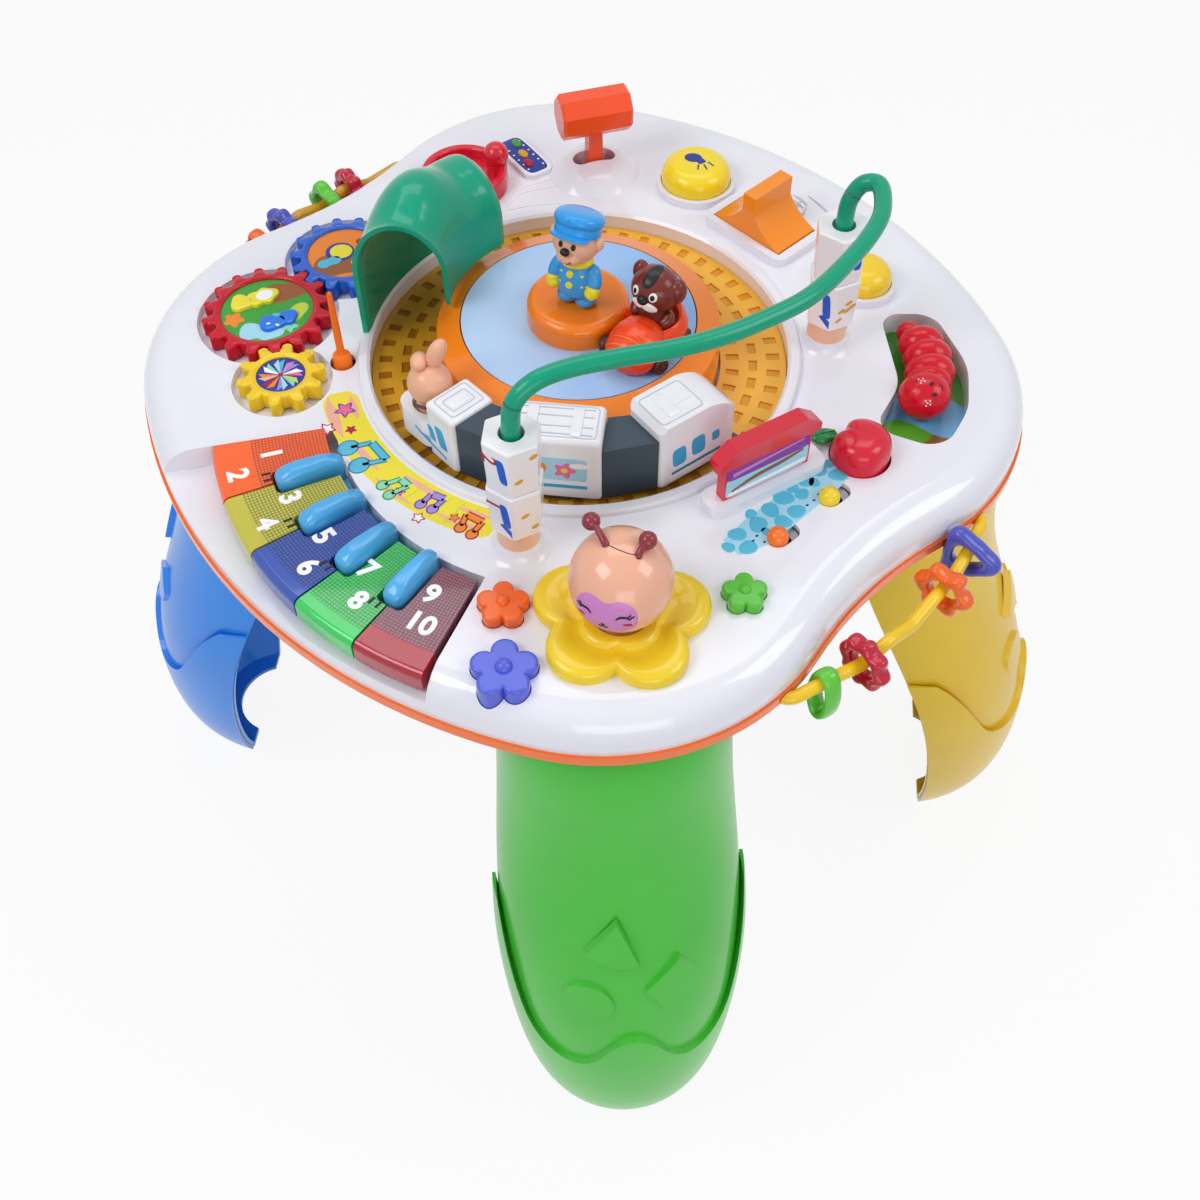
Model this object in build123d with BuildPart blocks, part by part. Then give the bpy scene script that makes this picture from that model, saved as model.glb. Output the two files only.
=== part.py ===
from build123d import *
import os
from math import atan2, cos, degrees, hypot, radians, sin, sqrt

os.makedirs("parts", exist_ok=True)

# A toddler's musical activity table. Millimetres and degrees. The origin is on the floor under the
# axis of the round track, +X points to the right leg, +Y to the back leg, +Z is up.

# ---------------------------------------------------------------- driving dimensions
# Table body
DECK_Z = 381.0            # deck height above the floor
SHELL_Z = 357.0           # lower edge of the top shell
WALL = 3.0                # wall of the top shell
EDGE_R = 18.0             # rounding of the deck's outer edge
LOBE_OFFSET = 120.0       # distance of each lobe's centre from the table axis
LOBE_R = 120.0            # radius of each lobe
LOBE_SKEW = 5.5           # turn of each lobe off its axis, towards the bead rods
VALLEY_DEPTH = 204.0      # reach of the outline in the two valleys that the bead rods cross
BULGE_REACH = 221.0       # reach of the outline in the two long sides between the valleys
RIM_Z = 350.0             # underside of the orange rim band
RIM_OUT = 1.5             # how far the band stands out from the shell
RIM_IN = 2.6              # how far the band reaches inside the shell's outline
COVER_Z = 352.0           # underside of the bottom cover
COVER_T = 3.0             # thickness of the bottom cover
SLIP = 0.3                # gap between pieces that are assembled but don't move
RUN = 0.4                 # gap round a piece that moves

# Track well and carousel
WELL_R = 112.3            # wall of the round well
WELL_FLOOR_Z = 369.0      # floor of the round well
LIP_R = 119.0             # outer radius of the raised lip round the well
LIP_H = 3.5               # height of the lip over the deck
TRACK_IN_R = 76.6         # inner radius of the track plate
TRACK_TOP_Z = 375.0       # top of the track plate
SHOULDER_R = 14.0         # shoulder of the centre post that carries the carousel
SHOULDER_Z = 376.2
POST_R = 8.0              # centre post
POST_TOP_Z = 400.0
HUB_WALL = 4.0            # wall of the hubs that turn on the post
RING_R = 75.2             # outer radius of the carousel ring
RING_EDGE_Z = 400.0       # height of the ring's outer shoulder
RING_TOP_Z = 405.0        # height of the ring's inner edge and of the picture disc
RING_IN_R = 62.6          # inner radius of the ring's top
RING_WALL = 3.0
RING_HUB_Z = 384.0        # top of the ring's hub
DISC_R = 61.9             # picture disc
DISC_T = 3.0
PEDESTAL_R = 27.0
PEDESTAL_H = 14.0
FIGURE_H = 61.0           # driver figure, feet to cap

# Train
CAR_IN_R = 78.0           # inner side of the cars
CAR_OUT_R = 105.0         # outer side of the cars
CAR_FLOOR_Z = 381.0       # underside of the cars
CAR_ROOF_Z = 420.0        # roofs of the cars
CHASSIS_Z = 377.2         # underside of the dark chassis
COUPLER_TOP_Z = 413.0
WHEEL_R = 5.0
REAR_CAR = (-152.0, -122.5)    # angle where each car begins and ends
MIDDLE_CAR = (-111.5, -82.0)
ENGINE = (-70.0, -37.0)
SEAT_END = -138.0              # where the open seat of the rear car ends
SEAT_SIDE_Z = 398.0            # height of the open seat's sides

# Tunnel
TUNNEL_MID_R = 92.3       # radius of the arch's middle line
TUNNEL_HALF = 25.3        # half of the arch's width
TUNNEL_WALL = 2.6
TUNNEL_ARC = (126.0, 175.0)    # where the tunnel begins and ends
TUNNEL_STEPS = (137.0, 168.0)  # where its roof steps up to the hump and down to the mouth
TUNNEL_SPRING_Z = 425.0        # where the upright walls turn into the roof
REAR_TOP_Z = 453.0
HUMP_TOP_Z = 464.0
MOUTH_TOP_Z = 456.0
TUNNEL_SHOULDER = 0.6     # how far the hump stands out sideways over its neighbours
TUNNEL_INNER_Z = 407.5    # where the inner foot ends, over the ring

# Towers and bead arch
TOWER_FRONT = (-28.0, -136.0)
TOWER_RIGHT = (133.0, 5.0)
FOOT_R = 16.2             # flared foot of each tower
FOOT_H = 8.0
COLLAR_R = 10.6           # peach collar
COLLAR_H = 11.0
BLOCK_H = 29.2            # height of each number block
BLOCK_TOP_R = 14.6        # corner radius of a block at its top
BLOCK_LOW_R = 13.4        # and at its bottom
BLOCK_BORE_R = 6.0
TUBE_R = 4.35             # bead arch tube
TUBE_RISE = 27.8          # height of the arch over the upper blocks

# Piano
PIANO_C = (9.0, -28.0)    # centre of the keyboard's arcs
PIANO_START = 192.5       # angle of the first key's free side
PIANO_STEP = 10.9         # angle of each key
KEY_COUNT = 5
KEY_IN_R = 143.0          # inner end of the keys
KEY_OUT_R = 201.0         # front of the keys
KEY_BASE_Z = 370.8
KEY_TOP_Z = 383.0
KEY_GAP = 1.2             # gap between neighbouring keys
PIANO_FLOOR_Z = 367.0
PIANO_IN_R = 137.8        # inner wall of the keyboard's well
PIANO_SIDE = 0.5          # angle between the outer keys and the well's sides
SHARP_LEN = 35.0
SHARP_W = 13.0
SHARP_TOP_Z = 391.0
HINGE_R = 144.0           # line that the keys rock about
COMB_IN_R = 138.6         # bar that joins the sharps
COMB_T = 3.4

# Gears: common module, teeth, place
GEAR_MODULE = 4.07
GEAR_TEETH = {"gear_red": 16, "gear_blue": 14, "gear_yellow": 10}
RED_C = (-171.8, 28.5)    # axle of the red gear
YELLOW_DIR = -74.3        # direction from the red axle to the yellow one
BLUE_DIR = 51.6           # direction from the red axle to the blue one
TOOTH_R = 2.7             # radius of each rounded tooth
GEAR_FLOOR_Z = 376.0
GEAR_BASE_Z = 376.6
GEAR_H = 9.0
GEAR_POCKET = 3.4         # room round the teeth
AXLE_R = 3.0
AXLE_H = 6.0

# Toys of the back row
HAMMER_C = (8.3, 157.7)
HAMMER_TURN = 16.0        # direction of the mallet's head
DOME_R = 27.7
DOME_H = 11.0
SLOT_L = 26.0
SLOT_W = 12.0
PIVOT_Z = 384.0           # pivot of the mallet
HEAD_Z = 421.0
HEAD_L = 42.0
HEAD_R = 13.3
HANDLE_W = 9.0
HANDLE_T = 9.0
PIN_R = 2.0               # pivot pins of the mallet and of the rocker
PIN_DEEP = 3.0            # how far a pin reaches into its bore
DIAL_C = (-69.2, 143.0)
DIAL_R = 25.4
DIAL_H = 5.0
DIAL_RIM_H = 11.5          # height of the dial's raised rim
DIAL_STEM_R = 7.0
DIAL_KNOB = (-50.0, 149.5)
DIAL_KNOB_R = 7.5
PANEL_C = (-34.5, 168.5)  # raised boss of the light panel
PANEL_TURN = 124.0
PANEL_L = 42.0
PANEL_W = 19.0
PANEL_H = 3.0
LAMP_C = (69.2, 142.5)
LAMP_R = 20.6
LAMP_TOP_Z = 398.0
ROCKER_C = (107.0, 100.5)
ROCKER_TURN = 43.4        # direction of the rocker's pivot axis
ROCKER_L = 50.0
ROCKER_W = 31.0
ROCKER_TOP_Z = 412.0
ROCKER_PIVOT_Z = 383.5
FIN_W = 9.0               # thickness of the rocker's fin
FRAME_L = 61.0
FRAME_W = 41.0
FRAME_H = 5.0
KNOB_C = (158.5, 50.0)
KNOB_R = 15.5
KNOB_TOP_Z = 397.0
COLLAR_WALL = 2.6         # raised collars round the round buttons
COLLAR_RISE = 4.5
PRESS = 2.5               # travel of the buttons
FLANGE_H = 2.2            # flange that keeps a button under the deck
FLANGE_OUT = 2.0          # how far the flange reaches under the deck

# Right side
RECESS_CORNERS = (        # kidney-shaped recess of the grub, before its corners are rounded
    (165.5, 27.0), (195.0, 27.0), (208.0, -14.0), (203.0, -46.0), (186.0, -75.5), (151.5, -60.0),
    (169.5, -28.0),
)
RECESS_ROUNDING = (10.0, 15.0, 45.0, 40.0, 16.0, 11.0, 30.0)
RECESS_FLOOR_Z = 367.0
GRUB_R = 185.0     # radius of the grub's path about the table axis
GRUB = ((4.6, 6.4), (1.2, 8.6), (-2.4, 9.6), (-5.9, 9.8), (-9.2, 9.6), (-12.9, 13.0))
APPLE_C = (142.5, -78.5)
APPLE_R = 15.5
APPLE_TOP_Z = 397.0
LEAF_C = (124.5, -68.5)
SIGN_C = (91.0, -98.5)
SIGN_TURN = 31.0
SIGN_L = 59.0
SIGN_H = 34.0
SIGN_T = 6.0
PLINTH_L = 68.0
PLINTH_W = 17.0
PLINTH_H = 6.0
SLIDER_TURN = 40.0
SLIDER_C = {"volume_slider": (124.0, -107.0), "power_slider": (96.5, -132.5)}
SLIDER_R = 5.4
SLIDER_TRAVEL = 7.0

# Flower corner
FLOWER_C = (20.0, -180.0)
BEZEL_R = 43.0
PETAL_R = 18.5
PETAL_COUNT = 5
BEZEL_H = 7.0
BEE_R = 24.0
BEE_Z = 411.0             # centre of the bee's head
BEE_PRESS = 3.5
BEE_NECK_R = 12.0
FLOWERS = {
    "flower_button_orange": ((-34.5, -174.0), 12.6, 90.0),
    "flower_button_indigo": ((-32.7, -210.5), 16.0, 90.0),
    "flower_button_green": ((78.0, -168.0), 11.0, 90.0),
}
FLOWER_H = 6.0
FLOWER_SKIRT = 8.0        # how far a flower button reaches below the deck's top
FLOWER_FLANGE = 0.72      # flange of a flower button as a share of its radius
STICK_C = (-126.7, -8.5)
STICK_TOP_Z = 429.0
STICK_FOOT_R = 6.5
STICK_R = 2.6

# Bead rods
ROD_R = 230.0             # radius of the arc that a rod follows
ROD_Z = 353.0
ROD_HALF = 21.5           # half of the rod's angle
ROD_THICK = 3.4
ROD_WAVE = 2.0            # height of its waves
ROD_STEPS = (-20, -14, -9, -4.5, 0, 4.5, 9, 14, 20)    # turns of its route from the middle
BEAD_T = 9.0

# Legs: height, reach of the outside, reach of the side edges, half of the width at the side edges
LEG_SECTIONS = (
    (0.0, 279.0, 246.0, 42.0),
    (22.0, 292.0, 245.0, 51.0),
    (60.0, 299.5, 241.0, 60.0),
    (105.0, 298.0, 233.0, 66.0),
    (185.0, 276.0, 206.0, 68.0),
    (275.0, 245.0, 165.0, 59.0),
    (COVER_Z, 220.0, 135.0, 48.0),
)
LEG_WALL = 3.2
FOOT_LIP = 14.0
SHOE_OUT = 3.0            # how far the shoe stands out from the leg
SHOE_RIM = ((0, 140), (10, 135), (24, 115), (36, 108), (50, 112), (61, 134), (69, 184), (80, 232))
SHAPE_OUT = 3.0           # how far the raised shapes stand out from the leg
NOTCH_R = 7.5             # half-round opening of the leg's latch
NOTCH_Z = 346.0

# Underside
SCREW_SPREAD = 21.0       # angle of the screws beside each lobe
SCREW_REACH = 203.0
SCREW_R = 1.6
SCREW_HEAD_R = 3.6
SCREW_HEAD_H = 2.0
BOSS_R = 5.0
SCREW_DEPTH = 16.0
BATTERY_C = (75.0, 143.0)
BATTERY_L = 66.0
BATTERY_W = 52.0
BATTERY_BOX_H = 15.0
SPEAKER_C = (-70.0, -140.0)
SPEAKER_R = 20.0
SPEAKER_H = 8.0
BOARD_C = (112.0, -112.0)
BOARD_L = 72.0
BOARD_W = 46.0
BOARD_T = 1.6
BOARD_LIFT = 5.0


# ---------------------------------------------------------------- shared helpers
def at(radius, azimuth, centre=(0.0, 0.0)):
    """Plan position at a radius and an azimuth about a centre."""
    return (centre[0] + radius * cos(radians(azimuth)), centre[1] + radius * sin(radians(azimuth)))


def sector(r_in, r_out, start, end, centre=(0.0, 0.0)):
    """Flat ring sector between two radii and two azimuths."""
    with BuildSketch() as flat:
        with BuildLine():
            outer = CenterArc(centre, r_out, start, end - start)
            inner = CenterArc(centre, r_in, start, end - start)
            Line(outer @ 0, inner @ 0)
            Line(outer @ 1, inner @ 1)
        make_face()
    return flat.sketch


def table_outline(inset):
    """Four lobes joined by two shallow valleys and two long bulges, all tangent arcs."""
    lobes = [-LOBE_SKEW, 90 + LOBE_SKEW, 180 - LOBE_SKEW, 270 + LOBE_SKEW]
    joins = []
    for index, lobe in enumerate(lobes):
        half = 45 + LOBE_SKEW if index % 2 == 0 else 45 - LOBE_SKEW
        along = LOBE_OFFSET * cos(radians(half))
        if index % 2 == 0:
            reach = BULGE_REACH - LOBE_R
            distance = (LOBE_OFFSET**2 - reach**2) / (2 * (along - reach))
            radius = BULGE_REACH - distance - inset
        else:
            reach = VALLEY_DEPTH - LOBE_R
            distance = (LOBE_OFFSET**2 - reach**2) / (2 * (along - reach))
            radius = distance - VALLEY_DEPTH + inset
        bisector = lobe + half
        centre = at(distance, bisector)
        touch = []
        for azimuth in (lobe, lobe + 2 * half):
            middle = at(LOBE_OFFSET, azimuth)
            dx, dy = centre[0] - middle[0], centre[1] - middle[1]
            span = hypot(dx, dy) * (-1 if index % 2 == 0 else 1)
            lobe_r = LOBE_R - inset
            touch.append((middle[0] + dx / span * lobe_r, middle[1] + dy / span * lobe_r))
        peak = at(distance + radius if index % 2 == 0 else distance - radius, bisector)
        joins.append((touch[0], peak, touch[1]))
    with BuildSketch() as flat:
        with BuildLine():
            for index, (start, peak, end) in enumerate(joins):
                ThreePointArc(start, peak, end)
                lobe = lobes[(index + 1) % 4]
                tip = at(LOBE_OFFSET + LOBE_R - inset, lobe)
                ThreePointArc(end, tip, joins[(index + 1) % 4][0])
        make_face()
    return flat.sketch


def gear_centre(name):
    """Axle of a gear: the yellow and the blue gear mesh with the red one."""
    if name == "gear_red":
        return RED_C
    teeth = GEAR_TEETH["gear_red"] + GEAR_TEETH[name]
    direction = YELLOW_DIR if name == "gear_yellow" else BLUE_DIR
    return at(GEAR_MODULE * teeth / 2, direction, RED_C)


def gear_phase(name):
    """Angle of a gear's first tooth, so that the teeth stand in mesh at rest."""
    if name == "gear_red":
        return YELLOW_DIR
    direction = YELLOW_DIR if name == "gear_yellow" else BLUE_DIR
    red_pitch = 360 / GEAR_TEETH["gear_red"]
    lead = (YELLOW_DIR - direction) % red_pitch
    gap = direction + 180 - lead * GEAR_TEETH["gear_red"] / GEAR_TEETH[name]
    return gap + 180 / GEAR_TEETH[name]


def gear_face(name):
    """Root disc with rounded teeth."""
    teeth = GEAR_TEETH[name]
    pitch_r = GEAR_MODULE * teeth / 2
    with BuildSketch() as flat:
        Circle(pitch_r - TOOTH_R - 0.9)
        with PolarLocations(pitch_r + 0.3, teeth, start_angle=gear_phase(name)):
            Circle(TOOTH_R)
        with PolarLocations(pitch_r - TOOTH_R / 2, teeth, start_angle=gear_phase(name)):
            Rectangle(TOOTH_R + 2.4, TOOTH_R * 1.8)
    return flat.sketch


def petals(radius, turn, centre=(0.0, 0.0)):
    """Five round petals about a centre disc."""
    petal_r = radius * 0.4
    with BuildSketch() as flat:
        with Locations(centre):
            Circle(radius * 0.55)
            with PolarLocations(radius - petal_r, PETAL_COUNT, start_angle=turn):
                Circle(petal_r)
    return flat.sketch


KEY_ANGLES = [PIANO_START + PIANO_STEP * index for index in range(KEY_COUNT + 1)]
PIANO_END = KEY_ANGLES[-1]
OUTLINE = table_outline(0.0)
OUTLINE_CAVITY = table_outline(WALL)
OUTLINE_RIM = table_outline(-RIM_OUT)
OUTLINE_RIM_IN = table_outline(RIM_IN)
OUTLINE_COVER = table_outline(RIM_IN + SLIP)
WELL_SECTOR = sector(PIANO_IN_R, 260.0, PIANO_START - PIANO_SIDE, PIANO_END + PIANO_SIDE, PIANO_C)
TUB_SECTOR = sector(
    PIANO_IN_R - WALL, 260.0, PIANO_START - PIANO_SIDE - 1.2, PIANO_END + PIANO_SIDE + 1.2, PIANO_C
)
SCREWS = [
    at(SCREW_REACH, quarter * 90 + side * SCREW_SPREAD + (LOBE_SKEW if quarter % 2 else -LOBE_SKEW))
    for quarter in range(4)
    for side in (-1, 1)
]


with BuildSketch() as recess_flat:
    with BuildLine():
        FilletPolyline(*RECESS_CORNERS, radius=RECESS_ROUNDING, close=True)
    make_face()
RECESS_FACE = recess_flat.sketch
with BuildSketch() as recess_tub:
    add(RECESS_FACE)
    offset(amount=WALL)
RECESS_TUB = recess_tub.sketch
FLOWER_FACES = {name: petals(radius, turn, place) for name, (place, radius, turn) in FLOWERS.items()}
ROCKER_PLANE = Plane(
    origin=(*ROCKER_C, 0), x_dir=(*at(1, ROCKER_TURN + 90), 0), z_dir=(*at(1, ROCKER_TURN), 0)
)
HAMMER_PLANE = Plane(
    origin=(*HAMMER_C, 0), x_dir=(*at(1, HAMMER_TURN), 0), z_dir=(*at(1, HAMMER_TURN - 90), 0)
)

# ---------------------------------------------------------------- table body
# Space under the deck, with the tubs of the wells left standing in it.
with BuildPart() as cavity:
    with BuildSketch(Plane.XY.offset(SHELL_Z)):
        add(OUTLINE_CAVITY)
    extrude(amount=DECK_Z - WALL - SHELL_Z)
    fillet(cavity.faces().sort_by(Axis.Z)[-1].edges(), EDGE_R - WALL)
    with BuildSketch(Plane.XY.offset(WELL_FLOOR_Z - WALL)):
        Circle(WELL_R + WALL)
    extrude(amount=DECK_Z - WELL_FLOOR_Z + WALL, mode=Mode.SUBTRACT)
    with BuildSketch(Plane.XY.offset(PIANO_FLOOR_Z - WALL)):
        add(TUB_SECTOR)
    extrude(amount=DECK_Z - PIANO_FLOOR_Z + WALL, mode=Mode.SUBTRACT)
    with BuildSketch(Plane.XY.offset(RECESS_FLOOR_Z - WALL)):
        add(RECESS_TUB)
    extrude(amount=DECK_Z - RECESS_FLOOR_Z + WALL, mode=Mode.SUBTRACT)
    with BuildSketch(Plane.XY.offset(GEAR_FLOOR_Z - WALL)):
        for gear in GEAR_TEETH:
            with Locations(gear_centre(gear)):
                Circle(GEAR_MODULE * GEAR_TEETH[gear] / 2 + GEAR_POCKET + 3 + WALL)
    extrude(amount=DECK_Z - GEAR_FLOOR_Z + WALL, mode=Mode.SUBTRACT)
    with BuildSketch(Plane.XY.offset(SHELL_Z)):
        with Locations(*SCREWS):
            Circle(BOSS_R)
    extrude(amount=DECK_Z - SHELL_Z, mode=Mode.SUBTRACT)

with BuildPart() as top_shell:
    with BuildSketch(Plane.XY.offset(SHELL_Z)):
        add(OUTLINE)
    extrude(amount=DECK_Z - SHELL_Z)
    fillet(top_shell.faces().sort_by(Axis.Z)[-1].edges(), EDGE_R)
    add(cavity.part, mode=Mode.SUBTRACT)
    # raised lip round the well
    with BuildSketch(Plane.XZ):
        with BuildLine():
            Polyline(
                (WELL_R, DECK_Z - 1),
                (WELL_R, DECK_Z + LIP_H - 1.5),
                (WELL_R + 1.5, DECK_Z + LIP_H),
                (LIP_R - 1, DECK_Z + LIP_H),
                (LIP_R, DECK_Z + LIP_H - 1),
                (LIP_R, DECK_Z - 1),
                close=True,
            )
        make_face()
    revolve(axis=Axis.Z)
    # slotted dome of the mallet
    dome_r = (DOME_R**2 + DOME_H**2) / (2 * DOME_H)
    with BuildSketch(Plane.XZ.offset(-HAMMER_C[1])):
        with BuildLine():
            start = (HAMMER_C[0] + DOME_R, DECK_Z)
            Line((HAMMER_C[0], DECK_Z - 1), (HAMMER_C[0] + DOME_R, DECK_Z - 1))
            Line((HAMMER_C[0] + DOME_R, DECK_Z - 1), start)
            lift = DECK_Z + DOME_H - dome_r
            middle = (HAMMER_C[0] + dome_r * sin(0.35), lift + dome_r * cos(0.35))
            ThreePointArc(start, middle, (HAMMER_C[0], DECK_Z + DOME_H))
            Line((HAMMER_C[0], DECK_Z + DOME_H), (HAMMER_C[0], DECK_Z - 1))
        make_face()
    revolve(axis=Axis((HAMMER_C[0], HAMMER_C[1], 0), (0, 0, 1)))
    # flared feet of the two towers
    for tower in (TOWER_FRONT, TOWER_RIGHT):
        with BuildSketch(Plane.XZ.offset(-tower[1])):
            with BuildLine():
                low = (tower[0] + FOOT_R, DECK_Z)
                neck = (tower[0] + COLLAR_R, DECK_Z + FOOT_H)
                bend = (tower[0] + COLLAR_R + 1.3, DECK_Z + FOOT_H * 0.45)
                Line((tower[0], DECK_Z - 1), (tower[0] + FOOT_R, DECK_Z - 1))
                Line((tower[0] + FOOT_R, DECK_Z - 1), low)
                ThreePointArc(low, bend, neck)
                Line(neck, (tower[0], DECK_Z + FOOT_H))
                Line((tower[0], DECK_Z + FOOT_H), (tower[0], DECK_Z - 1))
            make_face()
        revolve(axis=Axis((tower[0], tower[1], 0), (0, 0, 1)))
    # raised frame of the rocker, boss of the light panel, plinth of the sign
    with BuildSketch(Plane.XY.offset(DECK_Z - 1)):
        with Locations(Location((*ROCKER_C, 0), (0, 0, ROCKER_TURN))):
            RectangleRounded(FRAME_W, FRAME_L, 6)
    extrude(amount=FRAME_H + 1)
    with BuildSketch(Plane.XY.offset(DECK_Z - 1)):
        with Locations(Location((*PANEL_C, 0), (0, 0, PANEL_TURN))):
            RectangleRounded(PANEL_L, PANEL_W, 6)
    extrude(amount=PANEL_H + 1)
    with BuildSketch(Plane.XY.offset(DECK_Z - 1)):
        with Locations(Location((*SIGN_C, 0), (0, 0, SIGN_TURN))):
            with Locations((1, 0)):
                RectangleRounded(PLINTH_L, PLINTH_W, 5)
    extrude(amount=PLINTH_H + 1)
    # collars of the two round buttons
    with BuildSketch(Plane.XY.offset(DECK_Z - 1)):
        with Locations(LAMP_C):
            Circle(LAMP_R + RUN + COLLAR_WALL)
        with Locations(KNOB_C):
            Circle(KNOB_R + RUN + COLLAR_WALL)
    extrude(amount=COLLAR_RISE + 1)
    # wells
    with BuildSketch(Plane.XY.offset(WELL_FLOOR_Z)):
        Circle(WELL_R)
    extrude(amount=DECK_Z, mode=Mode.SUBTRACT)
    with BuildSketch(Plane.XY.offset(PIANO_FLOOR_Z)):
        add(WELL_SECTOR)
    extrude(amount=DECK_Z - PIANO_FLOOR_Z + 1, mode=Mode.SUBTRACT)
    with BuildSketch(Plane.XY.offset(RECESS_FLOOR_Z)):
        add(RECESS_FACE)
    extrude(amount=DECK_Z - RECESS_FLOOR_Z + 1, mode=Mode.SUBTRACT)
    with BuildSketch(Plane.XY.offset(GEAR_FLOOR_Z)):
        for gear in GEAR_TEETH:
            with Locations(gear_centre(gear)):
                Circle(GEAR_MODULE * GEAR_TEETH[gear] / 2 + GEAR_POCKET + 3)
    extrude(amount=DECK_Z - GEAR_FLOOR_Z + 1, mode=Mode.SUBTRACT)
    # ridge on the keyboard well's floor, which the keys rock on
    with BuildSketch(Plane.XY.offset(PIANO_FLOOR_Z - 1)):
        add(sector(PIANO_IN_R, HINGE_R + 1.6, PIANO_START, PIANO_END, PIANO_C))
    extrude(amount=KEY_BASE_Z - RUN - PIANO_FLOOR_Z + 1)
    # axle posts of the gears
    with BuildSketch(Plane.XY.offset(GEAR_FLOOR_Z - 1)):
        with Locations(*[gear_centre(gear) for gear in GEAR_TEETH]):
            Circle(AXLE_R)
    extrude(amount=AXLE_H + 1)
    # centre post with its shoulder
    with BuildSketch(Plane.XY.offset(WELL_FLOOR_Z - 1)):
        Circle(SHOULDER_R)
    extrude(amount=SHOULDER_Z - WELL_FLOOR_Z + 1)
    with BuildSketch(Plane.XY.offset(SHOULDER_Z - 1)):
        Circle(POST_R)
    extrude(amount=POST_TOP_Z - SHOULDER_Z + 1)
    # holes for the stems of the buttons
    with BuildSketch(Plane.XY.offset(SHELL_Z + 5)):
        for place, radius in (
            (LAMP_C, LAMP_R),
            (KNOB_C, KNOB_R),
            (APPLE_C, APPLE_R),
            (FLOWER_C, BEE_NECK_R),
            (DIAL_C, DIAL_STEM_R),
            (STICK_C, STICK_FOOT_R),
        ):
            with Locations(place):
                Circle(radius + RUN)
        with Locations(Location((*ROCKER_C, 0), (0, 0, ROCKER_TURN))):
            Rectangle(ROCKER_W + 2 * RUN, ROCKER_L + 2 * RUN)
        with Locations(Location((*HAMMER_C, 0), (0, 0, HAMMER_TURN))):
            SlotOverall(SLOT_L, SLOT_W)
        for place in SLIDER_C.values():
            with Locations(Location((*place, 0), (0, 0, SLIDER_TURN))):
                with Locations((SLIDER_TRAVEL / 2, 0)):
                    SlotOverall(2 * SLIDER_R + 2 * RUN + SLIDER_TRAVEL, 2 * SLIDER_R + 2 * RUN)
    extrude(amount=DECK_Z, mode=Mode.SUBTRACT)
    for face in FLOWER_FACES.values():
        with BuildSketch(Plane.XY.offset(SHELL_Z + 5)):
            add(face)
            offset(amount=RUN)
        extrude(amount=DECK_Z, mode=Mode.SUBTRACT)
    # blind bores for the pivot pins of the mallet and of the rocker
    with BuildSketch(HAMMER_PLANE):
        with Locations((0, PIVOT_Z)):
            Circle(PIN_R + RUN)
    extrude(amount=SLOT_W / 2 + PIN_DEEP + RUN, both=True, mode=Mode.SUBTRACT)
    with BuildSketch(ROCKER_PLANE):
        with Locations((0, ROCKER_PIVOT_Z)):
            Circle(PIN_R + RUN)
    extrude(amount=ROCKER_W / 2 + PIN_DEEP + 2 * RUN, both=True, mode=Mode.SUBTRACT)
    # bores for the arch tube in the tower feet
    with BuildSketch(Plane.XY.offset(DECK_Z - 1)):
        with Locations(TOWER_FRONT, TOWER_RIGHT):
            Circle(TUBE_R + SLIP)
    extrude(amount=FOOT_H + 2, mode=Mode.SUBTRACT)
    # pilot holes of the screws
    with BuildSketch(Plane.XY.offset(SHELL_Z - 1)):
        with Locations(*SCREWS):
            Circle(SCREW_R + 0.1)
    extrude(amount=SCREW_DEPTH, mode=Mode.SUBTRACT)
top_shell.part.label = "top_shell"
export_step(top_shell.part, "parts/top_shell.step")

with BuildPart() as rim_band:
    with BuildSketch(Plane.XY.offset(RIM_Z)):
        add(OUTLINE_RIM)
        add(OUTLINE_RIM_IN, mode=Mode.SUBTRACT)
    extrude(amount=SHELL_Z - RIM_Z)
    chamfer(rim_band.faces().sort_by(Axis.Z)[0].outer_wire().edges(), 1.0)
rim_band.part.label = "rim_band"
export_step(rim_band.part, "parts/rim_band.step")

battery_place = Location((*BATTERY_C, 0), (0, 0, 0))
with BuildPart() as bottom_cover:
    with BuildSketch(Plane.XY.offset(COVER_Z)):
        add(OUTLINE_COVER)
        with Locations(battery_place):
            Rectangle(BATTERY_L, BATTERY_W, mode=Mode.SUBTRACT)
        with Locations(SPEAKER_C):
            Circle(1.6, mode=Mode.SUBTRACT)
            with PolarLocations(7, 6):
                Circle(1.6, mode=Mode.SUBTRACT)
            with PolarLocations(13, 12):
                Circle(1.6, mode=Mode.SUBTRACT)
        with Locations(*SCREWS):
            Circle(SCREW_R + 0.1, mode=Mode.SUBTRACT)
    extrude(amount=COVER_T)
    # battery box: four walls and a roof over the door
    with BuildSketch(Plane.XY.offset(COVER_Z + COVER_T)):
        with Locations(battery_place):
            Rectangle(BATTERY_L + 2 * WALL, BATTERY_W + 2 * WALL)
            Rectangle(BATTERY_L, BATTERY_W, mode=Mode.SUBTRACT)
    extrude(amount=BATTERY_BOX_H)
    with BuildSketch(Plane.XY.offset(COVER_Z + COVER_T + BATTERY_BOX_H)):
        with Locations(battery_place):
            Rectangle(BATTERY_L + 2 * WALL, BATTERY_W + 2 * WALL)
    extrude(amount=WALL / 2)
    # posts that carry the circuit board
    with BuildSketch(Plane.XY.offset(COVER_Z + COVER_T)):
        with Locations(Location((*BOARD_C, 0), (0, 0, 45))):
            with GridLocations(BOARD_L - 12, BOARD_W - 12, 2, 2):
                Circle(3)
    extrude(amount=BOARD_LIFT)
    # countersinks of the screw heads
    with BuildSketch(Plane.XY.offset(COVER_Z)):
        with Locations(*SCREWS):
            Circle(SCREW_HEAD_R + 0.1)
    extrude(amount=SCREW_HEAD_H, mode=Mode.SUBTRACT)
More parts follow.
